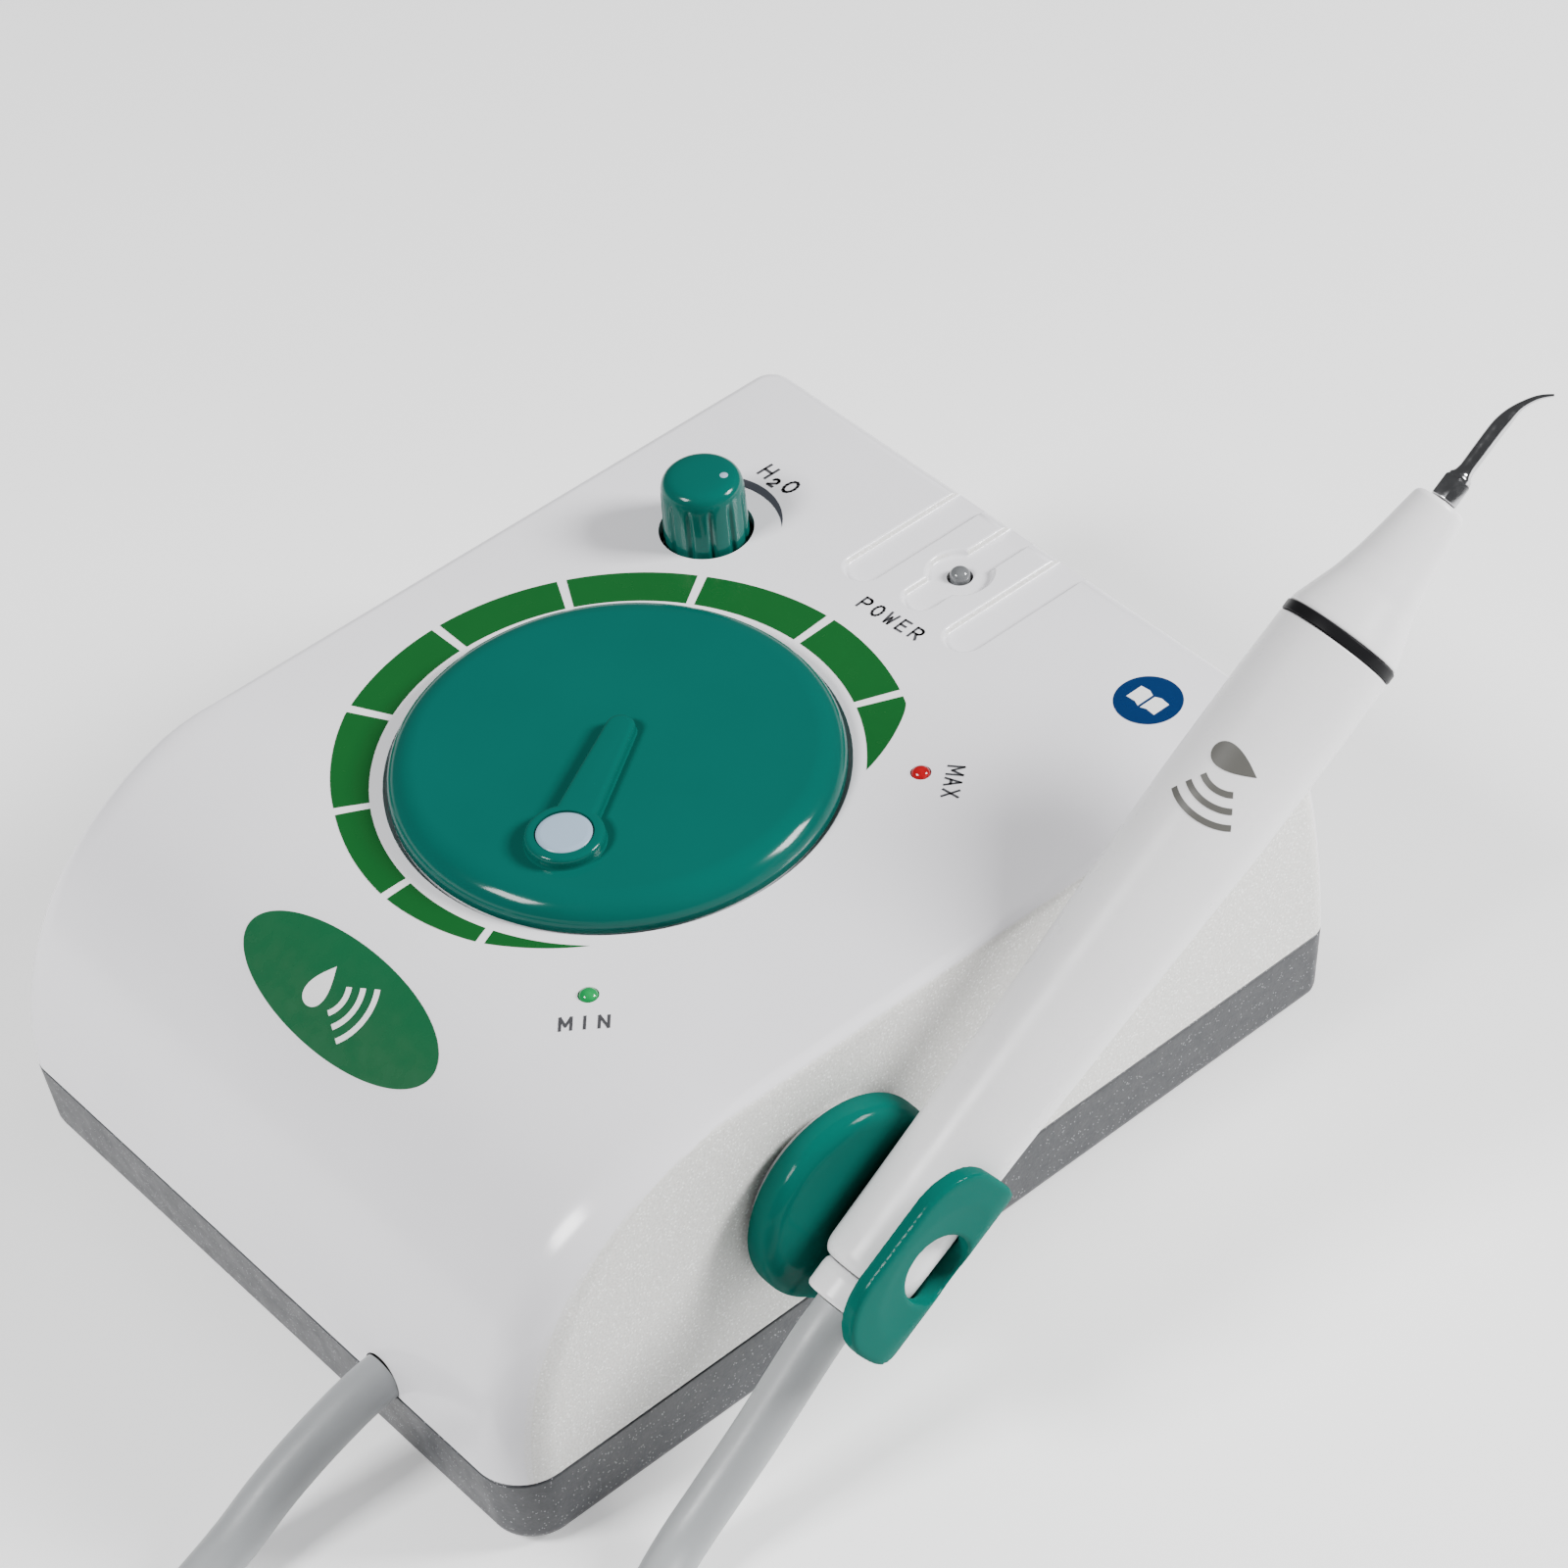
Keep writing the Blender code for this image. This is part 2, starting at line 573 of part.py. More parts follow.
def make_back_panel():
    panel = box((89.4 * MM, 2.0 * MM, 25.4 * MM), UNIT + Vector((0.0, PANEL_Y, PANEL_Z)))
    keep(panel, "rear_panel", "grey_tray")
    opening = box((19.6 * MM, 8 * MM, 13.6 * MM), UNIT + SWITCH)
    boolean(panel, as_cutter(opening, "cut_switch"))
    turn = (-math.pi / 2, 0.0, 0.0)
    for name, place, radius in (("mains", MAINS, 5.3), ("pedal", PEDAL, 5.3), ("water_in", WATER_IN, 4.3)):
        hole = cylinder(radius * MM, 8 * MM, UNIT + place, turn, 24)
        boolean(panel, as_cutter(hole, "cut_" + name))
    face = 1.3
    socket = turned([(0, -7.0), (3.0, -7.0), (3.0, face + 1.5), (6.8, face + 1.5), (6.8, face),
                     (5.0, face), (5.0, -9.0), (0, -9.0)], UNIT + MAINS, turn, 24)
    keep(socket, "mains_inlet", "black_plastic")
    pin = turned([(0, 0.5), (0.9, 0.2), (0.9, -6.6), (0, -6.6)], UNIT + MAINS, turn, 10)
    keep(pin, "mains_pin", "steel")
    jack = turned([(0, -9.0), (3.3, -9.0), (3.3, face + 1.2), (7.2, face + 1.2), (7.2, face),
                   (5.0, face), (5.0, -11.0), (0, -11.0)], UNIT + PEDAL, turn, 20)
    keep(jack, "pedal_socket", "black_plastic")
    ribs = [(radius, height - drop) for height in (15.0, 11.6, 8.2)
            for radius, drop in ((2.2, 0.0), (3.0, 2.0), (2.2, 2.6))]
    barb = turned([(0, 15.0), *ribs, (2.2, face + 3.0), (6.0, face + 3.0), (6.0, face),
                   (4.0, face), (4.0, -8.0), (0, -8.0)], UNIT + WATER_IN, turn, 16)
    keep(barb, "water_inlet", "steel")
    make_switch()


def make_switch():
    frame = box((22.0 * MM, 1.6 * MM, 16.0 * MM), UNIT + SWITCH + Vector((0.0, 2.1 * MM, 0.0)))
    shell = box((19.0 * MM, 11.0 * MM, 13.0 * MM), UNIT + SWITCH + Vector((0.0, -3.4 * MM, 0.0)))
    boolean(frame, as_cutter(shell, "add_switch_shell"), "UNION")
    well = box((16.4 * MM, 12.0 * MM, 10.4 * MM), UNIT + SWITCH + Vector((0.0, -1.0 * MM, 0.0)))
    boolean(frame, as_cutter(well, "cut_switch_well"))
    keep(frame, "switch_frame", "black_plastic")
    half = 7.0 * MM
    outline = [(-half, 0.2 * MM), (-half, -3.0 * MM), (-2.0 * MM, -4.6 * MM), (2.0 * MM, -4.6 * MM),
               (half, -3.0 * MM), (half, 3.4 * MM), (0.0, 1.9 * MM)]
    rocker = prism(outline, 9.6 * MM, UNIT + SWITCH + Vector((0.0, 0.6 * MM, 0.0)))
    keep(rocker, "power_switch", "black_plastic")


# ---------------------------------------------------------------- holder and handpiece

def along_hand(distance):
    """A point on the handpiece's axis, counted from the pivot along the handpiece."""
    return PIVOT + UNIT + Vector((HAND_OFFSET, distance * math.cos(TILT), distance * math.sin(TILT)))


HAND_TURN = (TILT - math.pi / 2, 0.0, 0.0)


def make_holder():
    disc_turn = (0.0, math.pi / 2, 0.0)
    rim, thick = PUCK_RADIUS / MM, PUCK_THICK / MM
    puck = turned([(0, thick), (rim - 1.9, thick), (rim - 0.5, thick - 0.6), (rim, thick - 1.9),
                   (rim, 0.0), (4.4, 0.0), (4.4, 3.4), (0, 3.4)],
                  UNIT + PIVOT, disc_turn, 44)
    section = [(PUCK_THICK - 2 * MM, -TROUGH_RADIUS - TROUGH_WALL)]
    outer = TROUGH_RADIUS + TROUGH_WALL
    section += arc((HAND_OFFSET, 0.0), outer, -90, 0, 12)
    section += [(HAND_OFFSET + outer, CHEEK_TOP), (HAND_OFFSET + TROUGH_RADIUS, CHEEK_TOP)]
    section += arc((HAND_OFFSET, 0.0), TROUGH_RADIUS, 0, -180, 19)
    section += [(PUCK_THICK - 2 * MM, 0.0)]
    # the section lies in the plane across the handpiece, so it is turned to stand along it
    cradle = prism(section, 2 * CHEEK_HALF, UNIT + PIVOT)
    stand = Matrix.Rotation(TILT, 4, "X") @ Matrix.Rotation(math.pi / 2, 4, "X")
    cradle.matrix_world = Matrix.Translation(UNIT + PIVOT) @ stand
    outline = rounded_rectangle((-CHEEK_HALF, -outer - GAP), (CHEEK_HALF, CHEEK_TOP + 0.01 * MM),
                                (8 * MM, 8 * MM, 10 * MM, 10 * MM))
    side_on = Matrix.Rotation(TILT, 4, "X") @ Matrix(
        ((0, 0, 1, 0), (1, 0, 0, 0), (0, 1, 0, 0), (0, 0, 0, 1)))
    shape = prism(outline, 80 * MM, UNIT + PIVOT)
    shape.matrix_world = Matrix.Translation(UNIT + PIVOT) @ side_on
    boolean(cradle, as_cutter(shape, "trim_cradle"), "INTERSECT")
    hole = cylinder(1.0, 9 * MM, UNIT + PIVOT, sides=32)
    hole.data.transform(Matrix.Diagonal((6.3 * MM, 7.4 * MM, 1.0, 1.0)))
    middle = Matrix.Translation((HAND_OFFSET + outer, 0.0, 0.0))
    hole.matrix_world = (Matrix.Translation(UNIT + PIVOT) @ Matrix.Rotation(TILT, 4, "X") @ middle
                         @ Matrix(((0, 0, 1, 0), (1, 0, 0, 0.4 * MM), (0, 1, 0, 0.8 * MM), (0, 0, 0, 1))))
    boolean(cradle, as_cutter(hole, "cut_cheek_hole"))
    bevel(cradle, 0.7 * MM, 1, 50)
    boolean(puck, as_cutter(cradle, "add_cradle"), "UNION")
    keep(puck, "handpiece_holder", "green_gloss")
    washer = turned([(17.4, 0.7), (17.4, 0.0), (5.2, 0.0), (5.2, 0.7)],
                    UNIT + Vector((HALF_WIDTH + GAP, PIVOT.y, PIVOT.z)), disc_turn, 32, True)
    keep(washer, "holder_washer", "white_gloss")
    pin = turned([(0, 3.1), (4.0, 3.1), (4.0, -9.5), (0, -9.5)], UNIT + PIVOT, disc_turn, 20)
    keep(pin, "holder_pin", "steel")
    nut = cylinder(7.0 * MM, 3.4 * MM, UNIT + PIVOT - Vector((6.2 * MM, 0.0, 0.0)), disc_turn, 6)
    bore = cylinder(4.3 * MM, 8.0 * MM, UNIT + PIVOT - Vector((6.2 * MM, 0.0, 0.0)), disc_turn, 20)
    boolean(nut, as_cutter(bore, "cut_nut_bore"))
    keep(nut, "holder_nut", "steel")


def make_hose_connector():
    plug = turned([(0, 14.0), (4.2, 14.0), (4.2, 5.4), (5.9, 5.4), (6.1, 4.6), (6.1, 3.4), (6.4, 3.0),
                   (6.4, 0.4), (6.0, 0.0), (0, 0.0)], along_hand(REAR_END), HAND_TURN, 24)
    keep(plug, "hose_connector", "handpiece_white")


def make_handpiece():
    start = along_hand(REAR_END)
    sleeve = turned([(9.9, RING_START / MM - 0.3), (10.3, RING_START / MM - 0.7), (10.4, 118), (10.3, 98),
                     (9.65, 77), (9.0, 59), (8.45, 36), (8.15, 18), (8.05, 9), (7.85, 7.2), (7.2, 6.2),
                     (6.2, 5.7), (4.6, 5.7), (4.6, 18), (6.9, 22), (8.6, 80), (8.8, RING_START / MM - 0.3)],
                    start, HAND_TURN, 32, True)
    keep(sleeve, "handpiece_sleeve", "handpiece_white")
    ring = turned([(10.1, RING_END / MM), (10.45, RING_END / MM - 0.4), (10.45, RING_START / MM + 0.4),
                   (10.1, RING_START / MM), (7.0, RING_START / MM), (7.0, RING_END / MM)],
                  start, HAND_TURN, 32, True)
    keep(ring, "handpiece_ring", "black_rubber")
    face = HAND_LENGTH / MM
    nose = turned([(2.9, face), (4.0, face), (4.6, face - 0.6), (5.0, 155.0), (5.6, 150.5), (6.5, 144.8),
                   (7.6, 140.0), (9.0, 135.8), (10.15, RING_END / MM + 0.3), (8.2, RING_END / MM + 0.3),
                   (5.2, 142.0), (2.9, 150.0)], start, HAND_TURN, 32, True)
    keep(nose, "nose_cap", "handpiece_white")
    horn = turned([(0, face - 0.4), (2.3, face - 0.4), (2.3, 148.0), (4.4, 139.0), (6.4, 128.5), (6.4, 112.0),
                   (0, 112.0)], start, HAND_TURN, 20)
    keep(horn, "transducer_horn", "titanium")
    for index in range(4):
        low = 111.6 - 5.3 * (index + 1)
        disc = turned([(6.0, low + 5.0), (6.0, low), (2.6, low), (2.6, low + 5.0)], start, HAND_TURN, 16, True)
        keep(disc, "piezo_ring_" + str(index + 1), "ceramic")
    mass = turned([(0, 90.0), (6.4, 90.0), (6.4, 72.0), (5.4, 71.0), (0, 71.0)], start, HAND_TURN, 20)
    keep(mass, "transducer_mass", "steel")


def make_tip():
    base = along_hand(REAR_END + HAND_LENGTH)
    forward = Vector((0.0, math.cos(TILT), math.sin(TILT)))
    down = Vector((0.0, math.sin(TILT), -math.cos(TILT)))
    bend = 0.83 * Vector((1.0, 0.0, 0.0)) + 0.55 * down
    stations = [(4.3, 0.0, 1.0), (5.0, 0.0, 1.0), (5.8, 0.0, 0.62), (6.8, 0.0, 0.56), (9.5, 0.0, 0.52),
                (12.9, 0.0, 0.50), (15.0, 0.05, 0.49), (16.5, 0.2, 0.46), (17.8, 0.38, 0.38),
                (19.0, 0.65, 0.28), (20.2, 1.1, 0.22), (21.4, 1.7, 0.18), (22.4, 2.35, 0.15),
                (23.3, 3.15, 0.12), (24.3, 4.25, 0.09)]
    points = [base + forward * (s * MM) + bend * (b * MM) for s, b, _ in stations]
    shaft = to_mesh(tube(points, 4.2 * MM, [r for _, _, r in stations], 3))
    hexagon = cylinder(2.35 * MM, 4.6 * MM, base + forward * (2.3 * MM), HAND_TURN, 6)
    bevel(hexagon, 0.12 * MM, 1)
    boolean(hexagon, as_cutter(shaft, "add_tip_shaft"), "UNION")
    keep(hexagon, "scaler_tip", "steel")


# ---------------------------------------------------------------- hose

def make_hose():
    collar = cylinder(4.55 * MM, 12.0 * MM, UNIT + Vector((EXIT.x, FRONT + 7.6 * MM, EXIT.z)),
                      (math.pi / 2, 0.0, 0.0), 28)
    keep(collar, "hose_gland", "grey_tray")
    for name, route in (("hose_front", FRONT_ROUTE), ("hose_rear", REAR_ROUTE)):
        points = [UNIT + Vector(point) * MM for point in route]
        piece = tube(smooth_path(points, 1.2 * HOSE_DIAMETER), HOSE_DIAMETER)
        keep(piece, name, "hose_grey")
    half = COIL_COLUMNS * HOSE_DIAMETER / 2 / MM
    middle, high = COIL_MIDDLE / MM, COIL_LAYERS * HOSE_DIAMETER / MM
    edge = 2.0                 # rounding of the coil's outline
    coil = turned([(middle - half + edge, high), (middle + half - edge, high), (middle + half, high - edge),
                   (middle + half, edge), (middle + half - edge, 0.0), (middle - half + edge, 0.0),
                   (middle - half, edge), (middle - half, high - edge)], UNIT + COIL, sides=36, closed=True)
    keep(coil, "hose_coil", "hose_grey")


clear_scene()
PARTS = new_collection("ultrasonic_scaler")
CUTTERS = new_collection("cutters")

top_cover = make_cover()
base_tray = make_tray()
cut_cover(top_cover)
cut_hose_exit(top_cover, base_tray)
make_feet()
make_case_screws()
make_dial()
make_dial_drive()
make_water_knob()
make_lights()
make_boards()
make_back_panel()
make_holder()
make_hose_connector()
make_handpiece()
make_tip()
make_hose()
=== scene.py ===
"""Ultrasonic dental scaler: the finished look of the desk unit, its two knobs, the handpiece
in its swivelling holder, and the hose with its stored coil.

Metres. Measures in the functions below are millimetres from the middle of the desk unit's
base, and at() turns them into the frame's own coordinates.
"""
import json
from math import acos, asin, atan2, cos, degrees, hypot, pi, radians, sin, sqrt, tau

import bmesh
import bpy
from mathutils import Matrix, Vector


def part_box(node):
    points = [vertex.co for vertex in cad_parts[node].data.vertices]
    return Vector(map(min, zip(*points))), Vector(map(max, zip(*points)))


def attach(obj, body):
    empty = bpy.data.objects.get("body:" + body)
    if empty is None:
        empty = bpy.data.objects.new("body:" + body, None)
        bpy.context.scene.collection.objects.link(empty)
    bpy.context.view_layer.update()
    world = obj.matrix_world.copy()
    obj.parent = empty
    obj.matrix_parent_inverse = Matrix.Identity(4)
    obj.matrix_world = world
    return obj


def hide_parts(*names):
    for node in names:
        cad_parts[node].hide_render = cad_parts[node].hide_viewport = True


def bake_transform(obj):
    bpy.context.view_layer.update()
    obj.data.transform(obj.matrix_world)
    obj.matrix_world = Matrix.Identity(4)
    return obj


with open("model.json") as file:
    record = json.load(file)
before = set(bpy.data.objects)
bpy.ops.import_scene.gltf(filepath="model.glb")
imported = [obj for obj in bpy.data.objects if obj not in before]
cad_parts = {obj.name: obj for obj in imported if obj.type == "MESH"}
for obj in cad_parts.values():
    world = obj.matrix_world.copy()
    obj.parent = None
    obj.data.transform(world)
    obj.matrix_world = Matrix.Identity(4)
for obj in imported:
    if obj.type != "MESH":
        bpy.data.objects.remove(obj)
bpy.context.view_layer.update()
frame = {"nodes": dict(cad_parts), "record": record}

MM = 0.001
JOINTS = {joint["name"]: joint for joint in frame["record"]["behaviour"]["joints"]}
TRAY_LOW, TRAY_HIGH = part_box("base_tray")
COVER_LOW, COVER_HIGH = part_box("top_cover")

# the desk unit in mm: its walls, corners and the curve of its front
HALF_WIDTH = (TRAY_HIGH.x - TRAY_LOW.x) / 2 / MM
FRONT = -90.9
BACK = FRONT + (TRAY_HIGH.y - TRAY_LOW.y) / MM
UNIT = Vector(((TRAY_LOW.x + TRAY_HIGH.x) / 2, TRAY_LOW.y - FRONT * MM, 0.0))
SPLIT = COVER_LOW.z / MM
TOP = COVER_HIGH.z / MM
WALL = 2.5
CORNER = 9.0
TOP_EDGE = 2.6
NOSE_LENGTH = 51.0
NOSE_POWER = 2.2
BACK_CORNER = 4.5
BACK_LEAN = 6.8
# the left wall spreads towards the seam, and its front corner is tighter
LEFT_FLARE = 2.0
LEFT_CORNER = CORNER - 2.5


def at(x, y, z=0.0):
    """Millimetres from the middle of the desk unit to metres in the frame."""
    return UNIT + Vector((x, y, z)) * MM


def local(point):
    """The other way: metres in the frame to millimetres from the unit's middle."""
    return (Vector(point) - UNIT) / MM


DIAL = local(JOINTS["dial_turn"]["pos_m"])
WATER = local(JOINTS["water_turn"]["pos_m"])
PIVOT = local(JOINTS["holder_swivel"]["pos_m"])
HAND_AXIS = Vector(JOINTS["handpiece_pull"]["axis"])
TILT = atan2(HAND_AXIS.z, HAND_AXIS.y)
UPRIGHT = Matrix.Identity(4)
OUTWARD = Matrix.Rotation(pi / 2, 4, "Y")
HAND_X = local(JOINTS["tip_unscrew"]["pos_m"]).x
HAND_OFFSET = HAND_X - PIVOT.x
POWER_LED = Vector((-0.8, 68.9, TOP))
MIN_LED = Vector((32.2, -40.6, TOP))
MAX_LED = Vector((31.6, 30.7, TOP))
POINTER_REACH = 23.4
POINTER_TURN = -59.4
FLUTES = 12
ICON = (45.5, 69.1)
INK = 0.05
EXIT = Vector((33.6, FRONT, 19.0))
HOSE_DIAMETER = 8.2
HOSE_TAIL = 20.0
COIL = Vector((112.0, -150.0, 0.0))
COIL_MIDDLE = 43.5


# ---- camera, light and floor

def make_camera():
    yaw, pitch, roll = (radians(a) for a in (52.912, 43.477, -5.494))
    forward = Vector((-sin(yaw) * cos(pitch), cos(yaw) * cos(pitch),
                      -sin(pitch)))
    side = Vector((cos(yaw), sin(yaw), 0.0))
    rise = side.cross(forward)
    right = cos(roll) * side + sin(roll) * rise
    up = cos(roll) * rise - sin(roll) * side
    camera = bpy.data.objects.new("camera", bpy.data.cameras.new("camera"))
    camera.data.sensor_width = 36.0
    camera.data.lens = 112.7
    camera.data.clip_start = 0.05
    matrix = Matrix((right, up, -forward)).transposed().to_4x4()
    matrix.translation = at(484.94, -340.31, 624.7)
    camera.matrix_world = matrix
    bpy.context.scene.collection.objects.link(camera)
    bpy.context.scene.camera = camera


def area_light(name, place, target, size, power):
    light = bpy.data.objects.new(name, bpy.data.lights.new(name, "AREA"))
    light.data.shape = "RECTANGLE"
    light.data.size, light.data.size_y = size
    light.data.energy = power
    light.location = place
    light.rotation_euler = (Vector(target) - Vector(place)).to_track_quat("-Z", "Y").to_euler()
    bpy.context.scene.collection.objects.link(light)


def make_studio():
    world = bpy.data.worlds.new("studio")
    bpy.context.scene.world = world
    world.use_nodes = True
    background = world.node_tree.nodes["Background"]
    background.inputs["Color"].default_value = (0.95, 0.97, 1.0, 1.0)
    background.inputs["Strength"].default_value = 0.12
    middle = at(10, 0, 40)
    area_light("key", middle + 1.2 * Vector((0.53, 0.64, 0.545)), middle, (0.36, 0.34), 27.0)
    area_light("front", middle + 1.2 * Vector((-0.14, -0.68, 0.71)), middle, (0.36, 0.30), 17.0)
    bpy.ops.mesh.primitive_plane_add(size=6.0, location=(0, 0, -0.0005))
    floor = bpy.context.object
    floor.name = "floor"
    paint = Surface("floor_paint", (0.92, 0.92, 0.92), 0.6)
    paint.mottle(6.0, 0.01)
    paint.set("Emission Color", (1.0, 1.0, 1.0, 1.0))
    paint.set("Emission Strength", 0.45)
    floor.data.materials.append(paint.material)


# ---- materials

class Surface:
    """A Principled material whose colour, roughness and bump come from noise textures."""

    def __init__(self, name, colour, roughness, metallic=0.0, coat=0.0):
        self.material = bpy.data.materials.new(name)
        self.material.use_nodes = True
        self.tree = self.material.node_tree
        self.shader = self.tree.nodes["Principled BSDF"]
        self.colour = colour
        self.set("Base Color", (*colour, 1.0))
        self.set("Roughness", roughness)
        self.set("Metallic", metallic)
        if coat:
            self.set("Coat Weight", coat)
            self.set("Coat Roughness", 0.08)
        self.bumps = None
        self.place = self.add("ShaderNodeTexCoord").outputs["Object"]

    def set(self, socket, value):
        self.shader.inputs[socket].default_value = value

    def feed(self, node, key, value):
        """Link a socket to a node's input, or set the input to a plain value."""
        if isinstance(value, bpy.types.NodeSocket):
            self.tree.links.new(value, node.inputs[key])
        else:
            node.inputs[key].default_value = value

    def add(self, kind, inputs=None, **settings):
        node = self.tree.nodes.new(kind)
        for key, value in settings.items():
            setattr(node, key, value)
        for key, value in (inputs or {}).items():
            self.feed(node, key, value)
        return node

    def link(self, output, socket):
        self.tree.links.new(output, self.shader.inputs[socket])

    def noise(self, scale, detail=3.0):
        node = self.add("ShaderNodeTexNoise", {
            "Vector": self.place, "Scale": scale, "Detail": detail})
        return node.outputs["Fac"]

    def ramp(self, value, low, high, to_low=0.0, to_high=1.0):
        return self.add("ShaderNodeMapRange", {
            "Value": value, "From Min": low, "From Max": high, "To Min": to_low,
            "To Max": to_high}).outputs["Result"]

    def maths(self, operation, *values):
        return self.add("ShaderNodeMath", dict(enumerate(values)), operation=operation).outputs[0]

    def mix(self, factor, first, second):
        colours = {0: factor, 6: first, 7: second}
        return self.add("ShaderNodeMix", colours, data_type="RGBA").outputs[2]

    def mottle(self, scale, amount):
        """The base colour drifts a little lighter and darker."""
        dark, light = ((*(min(1.0, part * share) for part in self.colour), 1.0)
                       for share in (1 - amount, 1 + amount))
        drift = self.ramp(self.noise(scale), 0.3, 0.7)
        self.link(self.mix(drift, dark, light), "Base Color")

    def wear(self, scale, low, high):
        """Roughness drifts between two values, as handling leaves it."""
        drift = self.noise(scale, 4.0)
        self.link(self.ramp(drift, 0.3, 0.7, low, high), "Roughness")

    def bump(self, height, strength, distance):
        inputs = {"Height": height, "Strength": strength, "Distance": distance}
        if self.bumps:
            inputs["Normal"] = self.bumps
        self.bumps = self.add("ShaderNodeBump", inputs).outputs["Normal"]
        self.link(self.bumps, "Normal")

    def grain(self, scale, strength, distance):
        self.bump(self.noise(scale, 2.0), strength, distance)


def gloss_plastic(name, colour, roughness, shine):
    """Moulded plastic with the faint waviness and handling marks of a polished tool."""
    paint = Surface(name, colour, roughness)
    paint.set("Specular IOR Level", shine)
    paint.mottle(45.0, 0.025)
    paint.wear(120.0, roughness * 0.75, roughness * 1.4)
    paint.grain(160.0, 0.05, 0.0004)
    return paint


def flecks_with_glints(paint, scale, chance):
    """Scattered single grains, the mask where their glints are painted in as base colour: 1 on a
    grain, 0 between them.
    """
    cells = paint.add("ShaderNodeTexVoronoi", {"Vector": paint.place, "Scale": scale})
    pick = paint.add("ShaderNodeSeparateColor", {"Color": cells.outputs["Color"]}).outputs[0]
    chosen = paint.maths("GREATER_THAN", pick, 1.0 - chance)
    near = paint.maths("LESS_THAN", cells.outputs["Distance"], 0.42)
    return paint.maths("MULTIPLY", chosen, near)


def make_cover_paint():
    """Glossy on top and over the nose; fine pearly texture on the two side walls, with painted
    glints: single grains turned near white.
    """
    paint = Surface("cover_paint", (0.80, 0.79, 0.81), 0.16)
    normal = paint.add("ShaderNodeNewGeometry").outputs["True Normal"]
    sideways = paint.add("ShaderNodeSeparateXYZ", {"Vector": normal}).outputs["X"]
    mask = paint.ramp(paint.maths("ABSOLUTE", sideways), 0.80, 0.90)
    drift = paint.ramp(paint.noise(30.0), 0.3, 0.7)
    gloss = paint.mix(drift, (0.83, 0.82, 0.85, 1.0), (0.86, 0.85, 0.88, 1.0))
    cloud = paint.ramp(paint.noise(2200.0, 2.0), 0.35, 0.65)
    pearl = paint.mix(cloud, (0.66, 0.65, 0.62, 1.0), (0.80, 0.79, 0.76, 1.0))
    # painted glints: grains of the pearly finish, their sparkle painted in as near-white base
    # colour
    pearl = paint.mix(flecks_with_glints(paint, 2400.0, 0.12), pearl, (1.0, 1.0, 0.98, 1.0))
    paint.link(paint.mix(mask, gloss, pearl), "Base Color")
    polish = paint.ramp(paint.noise(90.0, 4.0), 0.3, 0.7, 0.12, 0.20)
    matt = paint.maths("MULTIPLY", mask, 0.36)
    paint.link(paint.maths("ADD", polish, matt), "Roughness")
    paint.grain(90.0, 0.04, 0.0005)
    depth = paint.maths("MULTIPLY", paint.noise(2200.0, 2.0), mask)
    paint.bump(depth, 0.30, 0.0002)
    return paint.material


def make_tray_paint():
    """Dark grey moulded texture with a fine metallic fleck, the flecks painted pale grey as
    glints.
    """
    paint = Surface("tray_paint", (0.040, 0.042, 0.047), 0.42)
    cloud = paint.ramp(paint.noise(1400.0, 2.0), 0.35, 0.65)
    base = paint.mix(cloud, (0.034, 0.036, 0.041, 1.0), (0.046, 0.048, 0.053, 1.0))
    fleck_glints = flecks_with_glints(paint, 3200.0, 0.07)
    # painted glints: real flecks in the moulding, their sparkle painted in as pale grey base
    # colour
    paint.link(paint.mix(fleck_glints, base, (0.28, 0.285, 0.30, 1.0)), "Base Color")
    paint.set("Specular IOR Level", 0.35)
    paint.wear(300.0, 0.36, 0.48)
    paint.grain(1800.0, 0.20, 0.00015)
    return paint.material


def make_hose_paint():
    """Soft grey silicone with a faint bloom along it."""
    paint = Surface("hose_rubber", (0.30, 0.312, 0.320), 0.42)
    paint.mottle(35.0, 0.05)
    paint.wear(180.0, 0.34, 0.50)
    paint.grain(1400.0, 0.10, 0.0002)
    paint.set("Sheen Weight", 0.15)
    return paint.material


def steel_paint(name, colour, roughness):
    """Machined metal with a fine grain and uneven polish."""
    paint = Surface(name, colour, roughness, metallic=1.0)
    paint.mottle(400.0, 0.06)
    paint.wear(700.0, roughness * 0.6, roughness * 1.5)
    paint.grain(2500.0, 0.06, 0.0001)
    return paint.material


def rubber_paint(name, colour, roughness):
    """Matt moulded rubber or unglazed ceramic."""
    paint = Surface(name, colour, roughness)
    paint.set("Specular IOR Level", 0.25)
    paint.mottle(300.0, 0.12)
    paint.wear(500.0, roughness * 0.85, min(1.0, roughness * 1.15))
    paint.grain(1800.0, 0.25, 0.0002)
    return paint.material


def ink_paint(name, colour, roughness):
    """Screen-printed ink: an even film whose gloss drifts a little."""
    paint = Surface(name, colour, roughness)
    paint.set("Specular IOR Level", 0.25)
    paint.mottle(90.0, 0.02)
    paint.wear(300.0, roughness * 0.85, roughness * 1.15)
    return paint.material


def lens_paint(name, colour):
    """Clear coated lens of an indicator light."""
    paint = Surface(name, colour, 0.08, coat=0.2)
    paint.mottle(900.0, 0.15)
    paint.wear(500.0, 0.05, 0.12)
    return paint.material


def board_paint():
    """Circuit board: green lacquer over a grid of paler tracks."""
    paint = Surface("board_lacquer", (0.02, 0.14, 0.06), 0.4)
    tracks = paint.add("ShaderNodeTexBrick", {
        "Vector": paint.place, "Scale": 160.0, "Mortar Size": 0.06,
        "Color1": (0.02, 0.13, 0.05, 1.0), "Color2": (0.03, 0.17, 0.07, 1.0),
        "Mortar": (0.10, 0.30, 0.14, 1.0)})
    paint.link(tracks.outputs["Color"], "Base Color")
    paint.wear(200.0, 0.3, 0.5)
    return paint.material


# ---- mesh helpers

